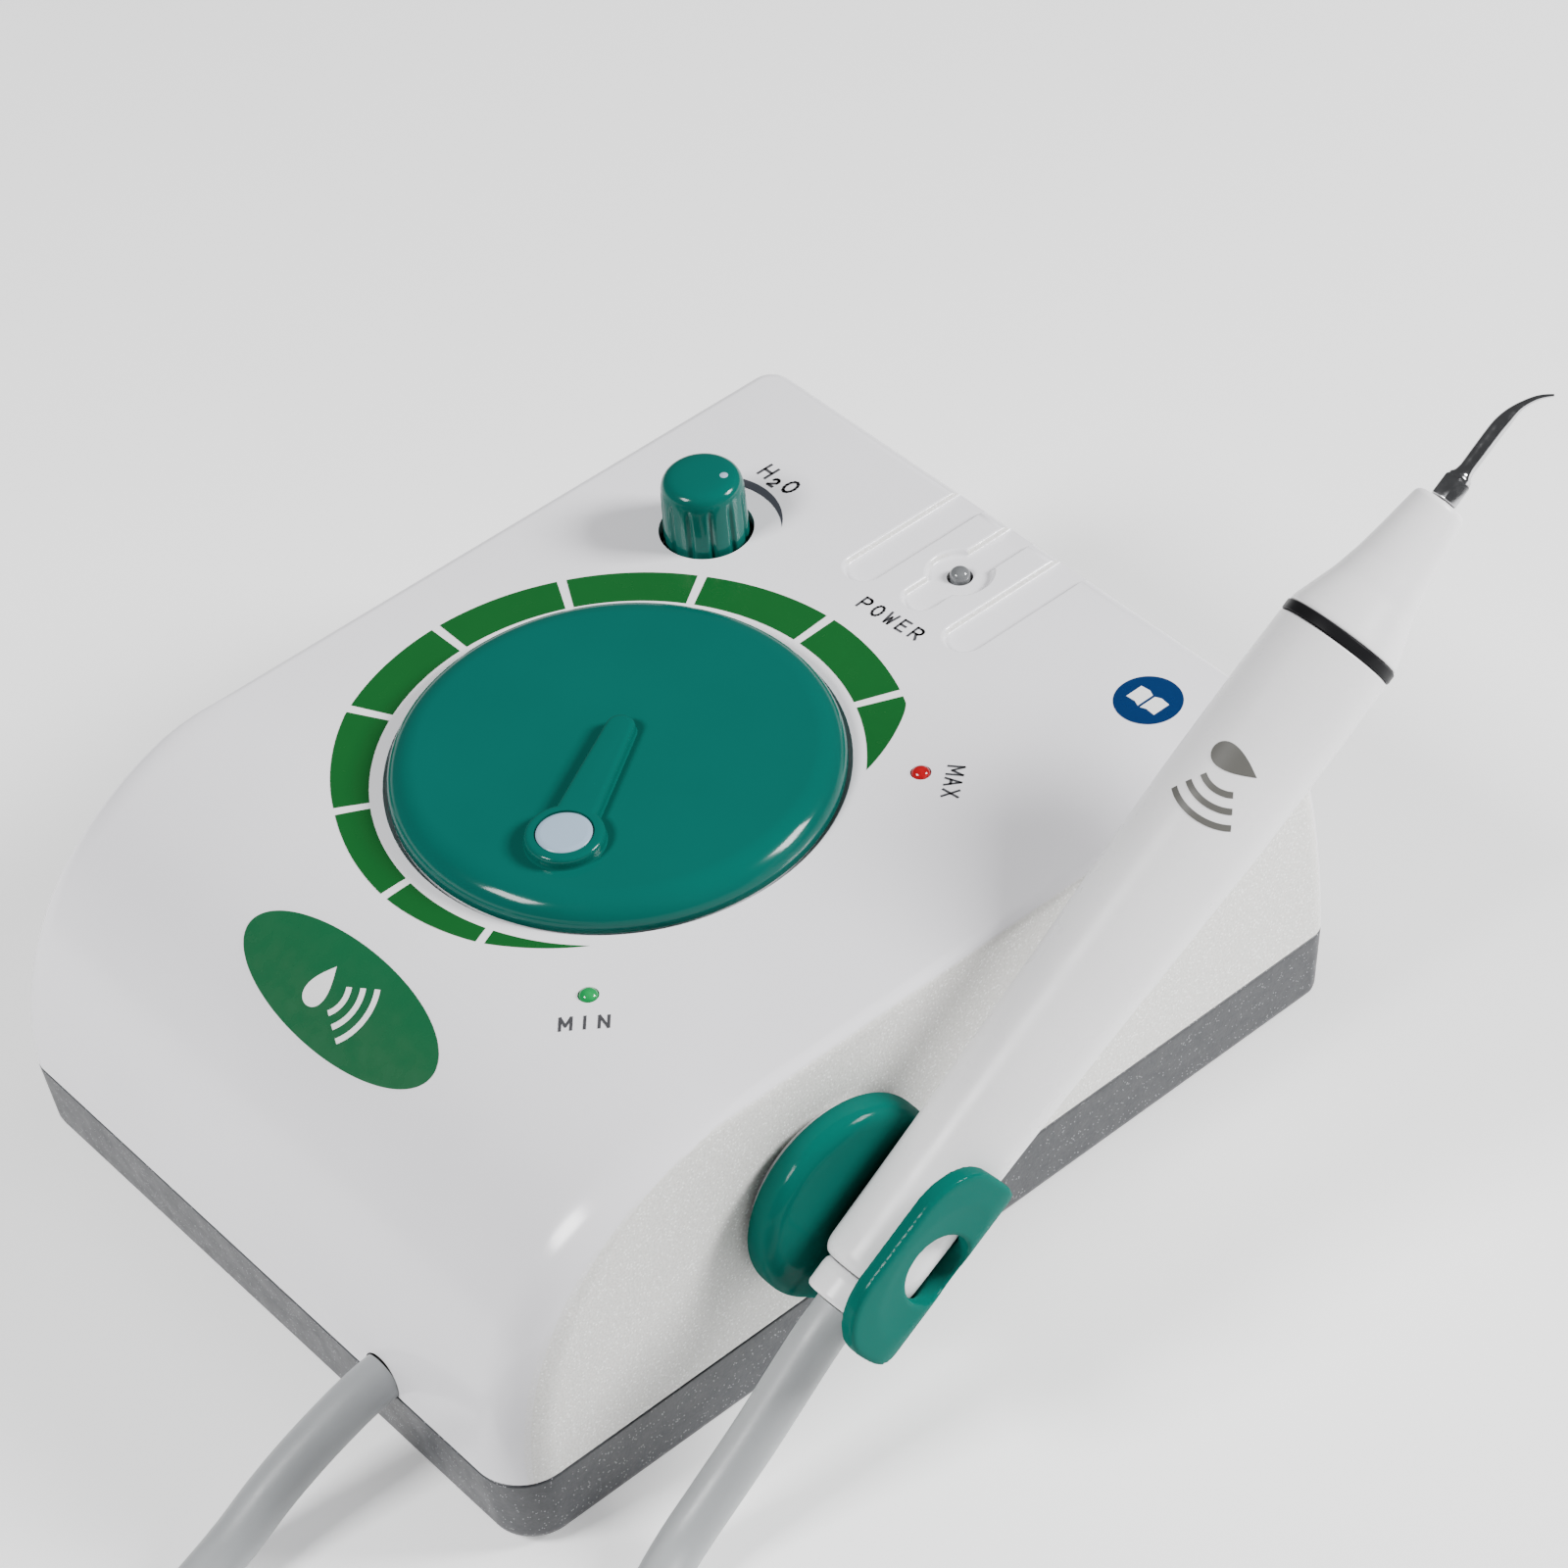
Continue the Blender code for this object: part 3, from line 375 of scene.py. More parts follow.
def new_object(name, body, material):
    """Put a bmesh into the scene as an object with one material."""
    mesh = bpy.data.meshes.new(name)
    body.to_mesh(mesh)
    body.free()
    obj = bpy.data.objects.new(name, mesh)
    bpy.context.scene.collection.objects.link(obj)
    mesh.materials.append(material)
    return obj


def smooth(obj, angle=32.0):
    obj.data.shade_smooth()
    obj.data.set_sharp_from_angle(angle=radians(angle))
    return obj


def skin(name, rings, material):
    """Skin rows of points, each a closed ring of the same length, in metres, and cap both ends."""
    body = bmesh.new()
    rows = [[body.verts.new(point) for point in ring] for ring in rings]
    for low, high in zip(rows, rows[1:]):
        for i in range(len(low)):
            j = (i + 1) % len(low)
            body.faces.new((low[i], low[j], high[j], high[i]))
    body.faces.new(list(reversed(rows[0])))
    body.faces.new(rows[-1])
    bmesh.ops.recalc_face_normals(body, faces=body.faces)
    return smooth(new_object(name, body, material))


def softened(profile, radius, closed):
    """Round the corners of a (r, z) profile: each bend becomes a short curve."""
    count = len(profile)
    result = []
    for i, (r, z) in enumerate(profile):
        if not closed and i in (0, count - 1):
            result.append((r, z))
            continue
        here = Vector((r, z))
        before, after = Vector(profile[i - 1]), Vector(profile[(i + 1) % count])
        cut = min(radius, (before - here).length * 0.45, (after - here).length * 0.45)
        start = here + (before - here).normalized() * cut
        end = here + (after - here).normalized() * cut
        for k in range(5):
            t = k / 4
            point = start * (1 - t) ** 2 + here * 2 * t * (1 - t) + end * t * t
            result.append((point.x, point.y))
    return result


def turned(name, profile, place, turn, material, sides, soft, closed=False):
    """Turn a (radius, height) profile in mm about its own axis and stand it in its place."""
    profile = softened(profile, soft, closed) if soft else profile
    body = bmesh.new()
    rows = []
    for radius, height in profile:
        if radius < 1e-6:
            rows.append([body.verts.new((0.0, 0.0, height * MM))])
            continue
        rows.append([body.verts.new((radius * MM * cos(tau * i / sides),
                                     radius * MM * sin(tau * i / sides), height * MM))
                     for i in range(sides)])
    pairs = list(zip(rows, rows[1:]))
    if closed:
        pairs.append((rows[-1], rows[0]))
    for upper, lower in pairs:
        for i in range(sides):
            j = (i + 1) % sides
            corners = dict.fromkeys((upper[i % len(upper)], upper[j % len(upper)],
                                     lower[j % len(lower)], lower[i % len(lower)]))
            if len(corners) > 2:
                body.faces.new(list(corners))
    bmesh.ops.recalc_face_normals(body, faces=body.faces)
    body.transform(Matrix.Translation(place) @ turn)
    return smooth(new_object(name, body, material))


def arc(centre, radius, start, end, count):
    """Points along an arc in a plane, angles in degrees."""
    cx, cy = centre
    steps = [radians(start + (end - start) * i / (count - 1)) for i in range(count)]
    return [(cx + radius * cos(a), cy + radius * sin(a)) for a in steps]


def rounded_rectangle(low, high, radii, count=14):
    """Corner radii run anticlockwise from the low-x, low-y corner."""
    (x0, y0), (x1, y1) = low, high
    corners = ((x0, y0, 180), (x1, y0, 270), (x1, y1, 0), (x0, y1, 90))
    points = []
    for (x, y, start), radius in zip(corners, radii):
        cx = x + radius * (1 if x == x0 else -1)
        cy = y + radius * (1 if y == y0 else -1)
        points += arc((cx, cy), radius, start, start + 90, count)
    return points


def prism(name, outline, low, high, matrix, material):
    """A flat closed outline in mm, extruded from low to high along its own Z."""
    body = bmesh.new()
    rows = [[body.verts.new((x * MM, y * MM, z * MM)) for x, y in outline] for z in (low, high)]
    for i in range(len(outline)):
        j = (i + 1) % len(outline)
        body.faces.new((rows[0][i], rows[0][j], rows[1][j], rows[1][i]))
    body.faces.new(list(reversed(rows[0])))
    body.faces.new(rows[1])
    bmesh.ops.recalc_face_normals(body, faces=body.faces)
    body.transform(matrix)
    return new_object(name, body, material)


def settle(obj):
    """Put an object's modifiers into its mesh."""
    bpy.context.view_layer.update()
    graph = bpy.context.evaluated_depsgraph_get()
    mesh = bpy.data.meshes.new_from_object(obj.evaluated_get(graph))
    obj.modifiers.clear()
    obj.data = mesh


def combine(target, tools, operation="DIFFERENCE"):
    for tool in tools:
        mod = target.modifiers.new("Boolean", "BOOLEAN")
        mod.operation = operation
        mod.solver = "EXACT"
        mod.object = tool
    settle(target)
    for tool in tools:
        bpy.data.objects.remove(tool, do_unlink=True)


def bevel(obj, width, segments, angle):
    mod = obj.modifiers.new("Bevel", "BEVEL")
    mod.width = width * MM
    mod.segments = segments
    mod.limit_method = "ANGLE"
    mod.angle_limit = radians(angle)
    settle(obj)


def moulded(obj, grid, passes):
    """Give a solid the soft edges and blended corners of a moulding, from an even fine mesh."""
    remesh = obj.modifiers.new("Remesh", "REMESH")
    remesh.mode = "VOXEL"
    remesh.voxel_size = grid * MM
    relax = obj.modifiers.new("Smooth", "SMOOTH")
    relax.factor = 0.5
    relax.iterations = passes
    settle(obj)
    obj.data.shade_smooth()


def even_out(obj, angle=60.0):
    """Smooth shading in which each large flat face keeps its own direction."""
    smooth(obj, angle)
    mod = obj.modifiers.new("WeightedNormal", "WEIGHTED_NORMAL")
    mod.keep_sharp = True
    settle(obj)


def nose_drop(y):
    """How far the curved front lies below the top's plane at a y."""
    share = max(0.0, (FRONT + NOSE_LENGTH - y) / NOSE_LENGTH)
    return (TOP - SPLIT) * (1 - (1 - share ** NOSE_POWER) ** (1 / NOSE_POWER))


def flat_shape(name, outlines, height, material):
    """Printed ink: thin faces that lie on the top at a height in mm and follow the nose."""
    ink = bmesh.new()
    for outline in outlines:
        ink.faces.new([ink.verts.new(at(x, y, height - nose_drop(y))) for x, y in outline])
    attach(new_object(name, ink, material), "unit")


def bowl(centre, half_wide, half_high, start, end):
    """A curved stroke of a letter, angles in degrees."""
    angles = [radians(start + (end - start) * i / 12) for i in range(13)]
    return [(centre[0] + half_wide * cos(a), centre[1] + half_high * sin(a))
            for a in angles]


# strokes of each letter, one unit high and about 0.6 wide
ROUND_HEAD = [(0, 0), (0, 1), (0.32, 1), *bowl((0.32, 0.74), 0.27, 0.26, 90, -90), (0, 0.48)]
LETTERS = {
    "A": [[(0, 0), (0.3, 1), (0.6, 0)], [(0.11, 0.36), (0.49, 0.36)]],
    "E": [[(0.55, 1), (0, 1), (0, 0), (0.55, 0)], [(0, 0.52), (0.47, 0.52)]],
    "H": [[(0, 0), (0, 1)], [(0.6, 0), (0.6, 1)], [(0, 0.52), (0.6, 0.52)]],
    "I": [[(0.3, 0), (0.3, 1)]],
    "M": [[(-0.06, 0), (-0.06, 1), (0.3, 0.3), (0.66, 1), (0.66, 0)]],
    "N": [[(0, 0), (0, 1), (0.6, 0), (0.6, 1)]],
    "O": [bowl((0.3, 0.5), 0.3, 0.5, 0, 360)],
    "P": [ROUND_HEAD],
    "R": [ROUND_HEAD, [(0.3, 0.48), (0.6, 0)]],
    "W": [[(0, 1), (0.15, 0), (0.3, 0.65), (0.45, 0), (0.6, 1)]],
    "X": [[(0, 0), (0.6, 1)], [(0, 1), (0.6, 0)]],
    "2": [[*bowl((0.3, 0.7), 0.28, 0.3, 170, -30), (0, 0), (0.6, 0)]]}


def words(name, text, start, end, cap, weight, material):
    """Letters on a line along the top, cap mm high, with strokes weight mm wide."""
    run = Vector(end) - Vector(start)
    along = run.normalized()
    up = Vector((-along.y, along.x))
    step = (run.length - 0.6 * cap) / (len(text) - 1)
    outlines = []
    for index, letter in enumerate(text):
        size, drop = (0.62 * cap, 0.2 * cap) if letter.isdigit() else (cap, 0.0)
        corner = Vector(start) + along * (step * index + 0.3 * (cap - size)) - up * drop
        for stroke in LETTERS[letter]:
            path = [corner + along * (x * size) + up * (y * size) for x, y in stroke]
            for a, b in zip(path, path[1:]):
                side = (b - a).normalized() * weight / 2
                across = Vector((-side.y, side.x))
                outlines.append([a - side * 0.8 - across, b + side * 0.8 - across,
                                 b + side * 0.8 + across, a - side * 0.8 + across])
    flat_shape(name, outlines, TOP + 0.06, material)


# ---- hose

# the hose's centreline in mm where it isn't coiled, as the model's own solids have it
FRONT_ROUTE = [
    (33.6, -90.4, 19.0), (33.6, -94.5, 18.3), (33.5, -99.5, 16.7), (33.5, -107.3, 13.7),
    (33.7, -115.0, 10.2), (34.5, -123.0, 6.5), (35.8, -131.0, 4.5), (37.9, -139.0, 4.15),
    (43.5, -152.5, 4.2), (51.4, -165.0, 5.2), (61.8, -176.6, 8.6)]
ONTO_COIL = [(72.5, -185.0, 12.6), (85.1, -191.9, 16.6), (98.5, -196.3, 19.6)]
OFF_COIL = [(112.5, -101.1, 4.15)]
REAR_ROUTE = [
    (83.75, -36.1, 32.9), (83.75, -41.0, 29.6), (83.75, -46.6, 24.9), (83.75, -55.4, 17.4),
    (83.8, -64.1, 10.8), (84.8, -73.0, 5.9), (88.0, -81.3, 4.2), (93.0, -88.3, 4.15),
    (100.2, -94.9, 4.15)]


def coil_points():
    """The stored turns: down three layers, from the top outside to the bottom outside."""
    low = HOSE_DIAMETER / 2 + 0.05
    inner, outer = COIL_MIDDLE - HOSE_DIAMETER / 2, COIL_MIDDLE + HOSE_DIAMETER / 2
    places = [(outer, 2), (inner, 2), (inner, 1), (outer, 1), (outer, 0)]
    start, end, step_over = 264.0, 80.0 + 360.0, 0.25
    total = end - start + 360.0 * (len(places) - 1)
    count = int(total / 15.0)
    points = []
    for k in range(count + 1):
        turned_by = total * k / count
        lap = min(turned_by / (total / len(places)), len(places) - 1e-6)
        index, share = int(lap), lap - int(lap)
        here, after = places[index], places[min(index + 1, len(places) - 1)]
        ease = max(0.0, (share - 1 + step_over) / step_over)
        ease = ease * ease * (3 - 2 * ease)
        radius = here[0] + (after[0] - here[0]) * ease
        layer = here[1] + (after[1] - here[1]) * ease
        turn = radians(start + turned_by)
        points.append((COIL.x + radius * cos(turn), COIL.y + radius * sin(turn),
                       low + layer * HOSE_DIAMETER))
    return points


def curved(points, steps):
    """A Catmull-Rom curve through the points, steps to each stretch, without its last point."""
    ends = [2 * points[0] - points[1], *points, 2 * points[-1] - points[-2]]
    dense = []
    for a, b, c, d in zip(ends, ends[1:], ends[2:], ends[3:]):
        for i in range(steps):
            t = i / steps
            dense.append(0.5 * (2 * b + (c - a) * t + (2 * a - 5 * b + 4 * c - d) * t * t
                                + (3 * b - a - 3 * c + d) * t ** 3))
    return dense


def smooth_path(points, spacing):
    """Even points along the curve through the route's own points."""
    dense = curved(points, 24) + [points[-1].copy()]
    lengths = [0.0]
    for a, b in zip(dense, dense[1:]):
        lengths.append(lengths[-1] + (b - a).length)
    count = max(2, round(lengths[-1] / spacing))
    even, k = [], 0
    for i in range(count + 1):
        target = lengths[-1] * i / count
        while k < len(lengths) - 2 and lengths[k + 1] < target:
            k += 1
        span = lengths[k + 1] - lengths[k]
        even.append(dense[k].lerp(dense[k + 1], (target - lengths[k]) / span))
    return even


def tube(name, path, radii, across, sides, material):
    """A round tube along a path, its rings carried on without twist."""
    rings = []
    for i, (point, radius) in enumerate(zip(path, radii)):
        tangent = (path[min(i + 1, len(path) - 1)] - path[max(i - 1, 0)]).normalized()
        across = (across - tangent * across.dot(tangent)).normalized()
        other = tangent.cross(across)
        rings.append([point + radius * (across * cos(tau * k / sides)
                                        + other * sin(tau * k / sides))
                      for k in range(sides)])
    return skin(name, rings, material)


def hose_mesh(name, path, material):
    across = (path[1] - path[0]).normalized().cross(Vector((0, 0, 1)))
    return tube(name, path, [HOSE_DIAMETER / 2 * MM] * len(path), across, 28, material)


def make_hose():
    material = make_hose_paint()
    route = FRONT_ROUTE + ONTO_COIL + coil_points() + OFF_COIL + list(reversed(REAR_ROUTE))
    path = smooth_path([at(*point) for point in route], 2.5 * MM)
    split = len(path) - 1
    while (path[-1] - path[split]).length < HOSE_TAIL * MM:
        split -= 1
    main = hose_mesh("hose", path[:split + 1], material)
    tail = hose_mesh("hose_tail", path[split:], material)
    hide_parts("hose_front", "hose_coil", "hose_rear")
    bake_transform(main)
    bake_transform(tail)


# ---- desk unit

def cover_levels(height):
    """Heights up the cover: close together where the nose and the top edge curve."""
    sweep = [height * sin(radians(a)) ** (2 / NOSE_POWER) for a in range(0, 91, 3)]
    edge = [height - TOP_EDGE * (1 - sin(radians(b))) for b in range(0, 91, 10)]
    return sorted({round(value, 4) for value in sweep + edge})


def cover_rings(inset):
    length, height = NOSE_LENGTH - inset, TOP - SPLIT - inset
    rings = []
    for rise in cover_levels(height):
        share = min(rise / height, 1.0)
        reach = length * max(0.0, 1 - share ** NOSE_POWER) ** (1 / NOSE_POWER)
        below_top = min(height - rise, TOP_EDGE)
        edge = TOP_EDGE - sqrt(TOP_EDGE ** 2 - (TOP_EDGE - below_top) ** 2)
        side = HALF_WIDTH - inset - edge
        back = BACK - inset - edge - BACK_LEAN * share ** 2
        left_corner, right_corner = (max(radius - inset - edge, 2.0)
                                     for radius in (LEFT_CORNER, CORNER))
        left = side + LEFT_FLARE * (1 - share)
        back_corner = max(BACK_CORNER - inset - edge, 1.2)
        outline = rounded_rectangle((-left, FRONT + NOSE_LENGTH - reach), (side, back),
                                    (left_corner, right_corner, back_corner, back_corner))
        rings.append([at(x, y, SPLIT + rise) for x, y in outline])
    return rings


def groove_outline(half, start, end):
    """A slot with a round front end, open past the unit's back edge."""
    return arc((0.0, start + half), half, 180, 360, 17) + [(half, end), (-half, end)]


def keyhole_outline(half, eye, start, end):
    """The middle slot widens to a round eye about the power light."""
    turn = degrees(acos(half / eye))
    front, centre = (0.0, start + half), (0.0, POWER_LED.y)
    return (arc(front, half, 180, 360, 17) + arc(centre, eye, -turn, turn, 24)
            + [(half, end), (-half, end)] + arc(centre, eye, 180 - turn, 180 + turn, 24))


# a groove's side: depth below the top in mm, and how much wider it is there
GROOVE_SIDE = [(-4.0, 0.8), (-0.05, 0.8), (0.02, 0.52), (0.12, 0.32), (0.32, 0.14), (0.6, 0.0),
               (0.9, -0.12), (1.08, -0.3), (1.17, -0.52), (1.2, -0.8)]


def groove_cutters(material):
    end = BACK + 10
    cutters = []
    for shift in (-12.8, 0.0, 12.8):
        rings = []
        for depth, grow in GROOVE_SIDE:
            if shift:
                outline = groove_outline(3.5 + grow, 54.8 - grow, end)
            else:
                outline = keyhole_outline(3.1 + grow, 5.7 + grow, 56.8 - grow, end)
            rings.append([at(POWER_LED.x + shift + x, y, TOP - depth) for x, y in outline])
        cutters.append(skin("cut", rings, material))
    return cutters


def hose_hole(material):
    """The hose's way out: a close hole through the wall, wider behind it for the gland."""
    along_y = Matrix.Rotation(-pi / 2, 4, "X")
    return turned("cut", [(0, 12), (4.9, 12), (4.9, 1.4), (4.3, 1.4), (4.3, -3), (0, -3)],
                  at(EXIT.x, FRONT, EXIT.z), along_y, material, 64, 0)


def drill(radius, reach, place, turn, material, sides):
    """A round cutter that reaches as far on both sides of its place."""
    profile = [(0, reach), (radius, reach), (radius, -reach), (0, -reach)]
    return turned("cut", profile, at(*place), turn, material, sides, 0)


def make_cover():
    material = make_cover_paint()
    outer, inner = cover_rings(0.0), cover_rings(WALL)
    cover = skin("cover", list(reversed(inner)) + outer, material)
    cutters = [
        turned("cut", [(0, 10), (39.1, 10), (39.1, -1.2), (4.0, -1.2), (4.0, -10), (0, -10)],
               at(*DIAL), UPRIGHT, material, 128, 0),
        drill(8.4, 10, WATER, UPRIGHT, material, 96)]
    for led, radius in ((POWER_LED, 2.3), (MIN_LED, 1.75), (MAX_LED, 1.75)):
        cutters.append(drill(radius, 10, led, UPRIGHT, material, 48))
    cutters += groove_cutters(material)
    window = [(-45, BACK - 8), (45, BACK - 8), (45, BACK + 4), (-45, BACK + 4)]
    cutters.append(prism("cut", window, 21, 47, Matrix.Translation(at(0, 0, 0)), material))
    cutters.append(drill(4.4, 6, (HALF_WIDTH, PIVOT.y, PIVOT.z), OUTWARD, material, 48))
    cutters.append(hose_hole(material))
    combine(cover, cutters)
    bevel(cover, 0.35, 3, 50)
    even_out(cover)
    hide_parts("top_cover")
    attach(cover, "unit")


def make_tray(material):
    def ring(inset, height, front=0.0):
        radii = [max(radius - inset, 1.2)
                 for radius in (LEFT_CORNER, CORNER, BACK_CORNER, BACK_CORNER)]
        outline = rounded_rectangle((-HALF_WIDTH - LEFT_FLARE + inset, FRONT + inset + front),
                                    (HALF_WIDTH - inset, BACK - inset), radii)
        return [at(x, y, height) for x, y in outline]
    rim = SPLIT - 0.5
    rings = [ring(2.2, 1.5, 0.5), ring(1.7, 1.65, 0.45), ring(1.3, 2.1, 0.35),
             ring(1.0, 3.2, 0.3), ring(0.05, rim - 0.35), ring(0.15, rim - 0.1),
             ring(0.4, rim), ring(WALL + 0.3, rim), ring(WALL + 0.3, rim + 3),
             ring(WALL + 1.8, rim + 3), ring(WALL + 1.8, 3.8)]
    tray = skin("tray", rings, material)
    cutters = [turned("cut", [(0, 10), (1.9, 10), (1.9, 2.8), (3.4, 2.8), (3.4, -1), (0, -1)],
                      at(x, y), UPRIGHT, material, 40, 0)
               for x in (-44, 44) for y in (-62, 66)]
    cutters.append(hose_hole(material))
    combine(tray, cutters)
    even_out(tray, 50)
    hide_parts("base_tray")
    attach(tray, "unit")


# ---- controls

def spoon(spread):
    """The pointer's outline grown by spread: a narrow bar that ends in a round head."""
    head, tail, bar = 6.7 + spread, 5.6 + spread, 2.55 + spread
    turn = degrees(asin(bar / head)) + 10
    return (arc((POINTER_REACH, 0.0), head, 180 + turn, 540 - turn, 49)
            + arc((-tail + bar, 0.0), bar, 90, 270, 21))


def make_dial(green, white):
    rim, top, rounding = 38.3, 5.0, 5.2
    crown = [(rim - rounding * (1 - cos(radians(a))),
              0.7 + (top - 0.7) * sin(radians(a))) for a in range(90, -1, -6)]
    disc = turned("dial_disc", [(0, top), (20, top), *crown, (rim, -0.6), (rim - 1.8, -0.6),
                                (rim - 1.8, 0.4), (8, 0.4), (8, -0.6), (3.4, -0.6), (3.4, 3.0),
                                (0, 3.0)], at(*DIAL), UPRIGHT, green, 144, 0.25)
    stand = (Matrix.Translation(at(*DIAL))
             @ Matrix.Rotation(radians(POINTER_TURN), 4, "Z"))
    levels = [(0.3, 4.9), (0.14, 5.08), (0.04, 5.3), (0.0, 5.7), (0.0, 6.3), (-0.1, 6.75),
              (-0.32, 7.03), (-0.65, 7.16), (-1.0, 7.2)]
    rings = [[stand @ Vector((x * MM, y * MM, z * MM)) for x, y in spoon(spread)]
             for spread, z in levels]
    pointer = skin("dial_pointer", rings, green)
    head = stand @ Vector((POINTER_REACH * MM, 0, 0))
    pocket = turned("cut", [(0, 9), (4.95, 9), (4.95, 6.75), (0, 6.75)], head,
                    UPRIGHT, green, 64, 0)
    combine(pointer, [pocket])
    smooth(pointer, 40)
    marker = turned("marker", [(0, 7.28), (3.9, 7.28), (4.5, 7.12), (4.8, 6.85), (0, 6.85)], head,
                    UPRIGHT, white, 64, 0.15)
    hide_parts("power_dial")
    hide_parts("dial_marker")
    for piece, slot in ((disc, "green_gloss"), (pointer, "green_gloss"), (marker, "marker_white")):
        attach(piece, "dial")


def make_water_knob(green, white):
    """Twelve flutes that run out below a rounded crown."""
    levels = [(-3.4, 7.6, 0.4), (-3.1, 7.85, 0.5), (0.0, 7.82, 0.5), (4.0, 7.74, 0.48),
              (7.4, 7.66, 0.44), (8.6, 7.62, 0.30), (9.3, 7.58, 0.12), (9.8, 7.52, 0.0),
              (10.6, 7.32, 0.0), (11.2, 7.0, 0.0), (11.7, 6.5, 0.0), (12.0, 5.9, 0.0),
              (12.2, 5.0, 0.0), (12.28, 3.4, 0.0), (12.3, 1.6, 0.0)]
    rings = []
    for height, radius, depth in levels:
        ring = []
        for i in range(240):
            angle = tau * i / 240
            dip = max(0.0, cos(FLUTES * angle)) ** 3
            r = 0.96 * radius - depth * 1.1 * dip
            ring.append(at(*WATER)
                        + Vector((r * cos(angle), r * sin(angle), height)) * MM)
        rings.append(ring)
    knob = skin("water_grip", rings, green)
    angle = radians(40.0)
    spot = at(*WATER) + Vector((4.0 * cos(angle), 4.0 * sin(angle), 0)) * MM
    dot = turned("water_dot", [(0, 12.36), (0.6, 12.33), (0.78, 12.22), (0.78, 12.0), (0, 12.0)],
                 spot, UPRIGHT, white, 32, 0)
    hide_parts("water_knob")
    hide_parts("knob_dot")
    for piece, slot in ((knob, "green_gloss"), (dot, "marker_white")):
        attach(piece, "water_control")


def make_lights():
    lights = [
        ("power_led", POWER_LED, 1.8, 0.75, "led_clear", (0.13, 0.135, 0.14), "lens_clear"),
        ("min_led", MIN_LED, 1.65, 0.9, "led_green", (0.0, 0.25, 0.06), "lens_green"),
        ("max_led", MAX_LED, 1.65, 0.9, "led_red", (0.38, 0.003, 0.008), "lens_red")]
    for name, place, radius, top, paint, colour, slot in lights:
        dome = [(radius * cos(a), top - radius * 0.8 * (1 - sin(a)))
                for a in map(radians, range(84, -1, -12))]
        lens = turned(name + "_lens", [(0, top), *dome, (radius, -18.9), (0, -18.9)], at(*place),
                      UPRIGHT, lens_paint(paint, colour), 48, 0)
        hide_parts(name)
        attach(lens, "unit")


# ---- printing on the top

RING_INNER = 41.4
RING_LEAST = 0.03
RING_OUTER = [(43.9, 41.4), (60.6, 48.7), (63, 49.5), (90, 49.5), (121, 48.75), (152, 48.75),
              (180, 49.1), (210, 49.2), (238, 47.3), (265, 46.2), (291, 44.5), (314.4, 41.4)]
RING_GAPS = (66.2, 93.1, 123.0, 152.0, 180.1, 208.1, 237.9, 265.0, 290.7)


def ring_outer(angle):
    for (a, low), (b, high) in zip(RING_OUTER, RING_OUTER[1:]):
        if angle <= b:
            return low + (high - low) * (angle - a) / (b - a)
    return RING_INNER


def ring_point(angle, share):
    """A point of the ring, share of the way from its inner to its outer edge."""
    radius = RING_INNER + (ring_outer(angle) - RING_INNER + RING_LEAST) * share
    turn = radians(angle)
    return DIAL.x + radius * cos(turn), DIAL.y + radius * sin(turn)


def make_scale(ink):
    """The tapering ring of ten segments round the dial."""
    half_gap = 1.0
    starts = [43.9, *[gap + half_gap for gap in RING_GAPS]]
    ends = [*[gap - half_gap for gap in RING_GAPS], 314.4]
    outlines = []
    for start, end in zip(starts, ends):
        count = max(8, round(end - start))
        angles = [start + (end - start) * i / count for i in range(count + 1)]
        for a, b in zip(angles, angles[1:]):
            for share in (0.0, 0.25, 0.5, 0.75):
                corners = [(a, share), (a, share + 0.25), (b, share + 0.25), (b, share)]
                outlines.append([ring_point(angle, part) for angle, part in corners])
    flat_shape("power_scale", outlines, TOP + INK, ink)


def make_water_scale(ink):
    """A thin arc behind the water knob that tapers to a point."""
    point, wide = 45.0, 175.0
    outside, inside = [], []
    for i in range(61):
        share = i / 60
        angle = radians(point + (wide - point) * share)
        half = 0.95 * sin(min(1.0, 1.9 * share) * pi / 2)
        for row, radius in ((outside, 13.2 + half), (inside, 13.2 - half)):
            row.append((WATER.x + radius * cos(angle), WATER.y + radius * sin(angle)))
    flat_shape("water_scale", [outside + list(reversed(inside))], TOP + INK, ink)


def make_icon(blue, white):
    """A blue disc that carries an open booklet."""
    flat_shape("icon_disc", [arc(ICON, 5.9, 0, 355, 72)], TOP + INK, blue)
    leaf = [(0.25, -2.2), (1.4, -1.75), (3.3, -1.9), (3.3, 1.6), (1.4, 1.8), (0.25, 1.3)]
    leaves = [[(ICON[0] + side * x, ICON[1] + y) for x, y in leaf][::side] for side in (-1, 1)]
    flat_shape("icon_booklet", leaves, TOP + 2 * INK, white)


def nose_point(x, angle, lift):
    """A point on the curved front, and lift mm off it; the angle is 90 degrees at the top."""
    height = TOP - SPLIT
    c, s = max(cos(angle), 1e-6), sin(angle)
    y = FRONT + NOSE_LENGTH - NOSE_LENGTH * c ** (2 / NOSE_POWER)
    z = SPLIT + height * s ** (2 / NOSE_POWER)
    ny = -(c ** (2 - 2 / NOSE_POWER)) / NOSE_LENGTH
    nz = (s ** (2 - 2 / NOSE_POWER)) / height
    size = hypot(ny, nz)
    return at(x, y + lift * ny / size, z + lift * nz / size)


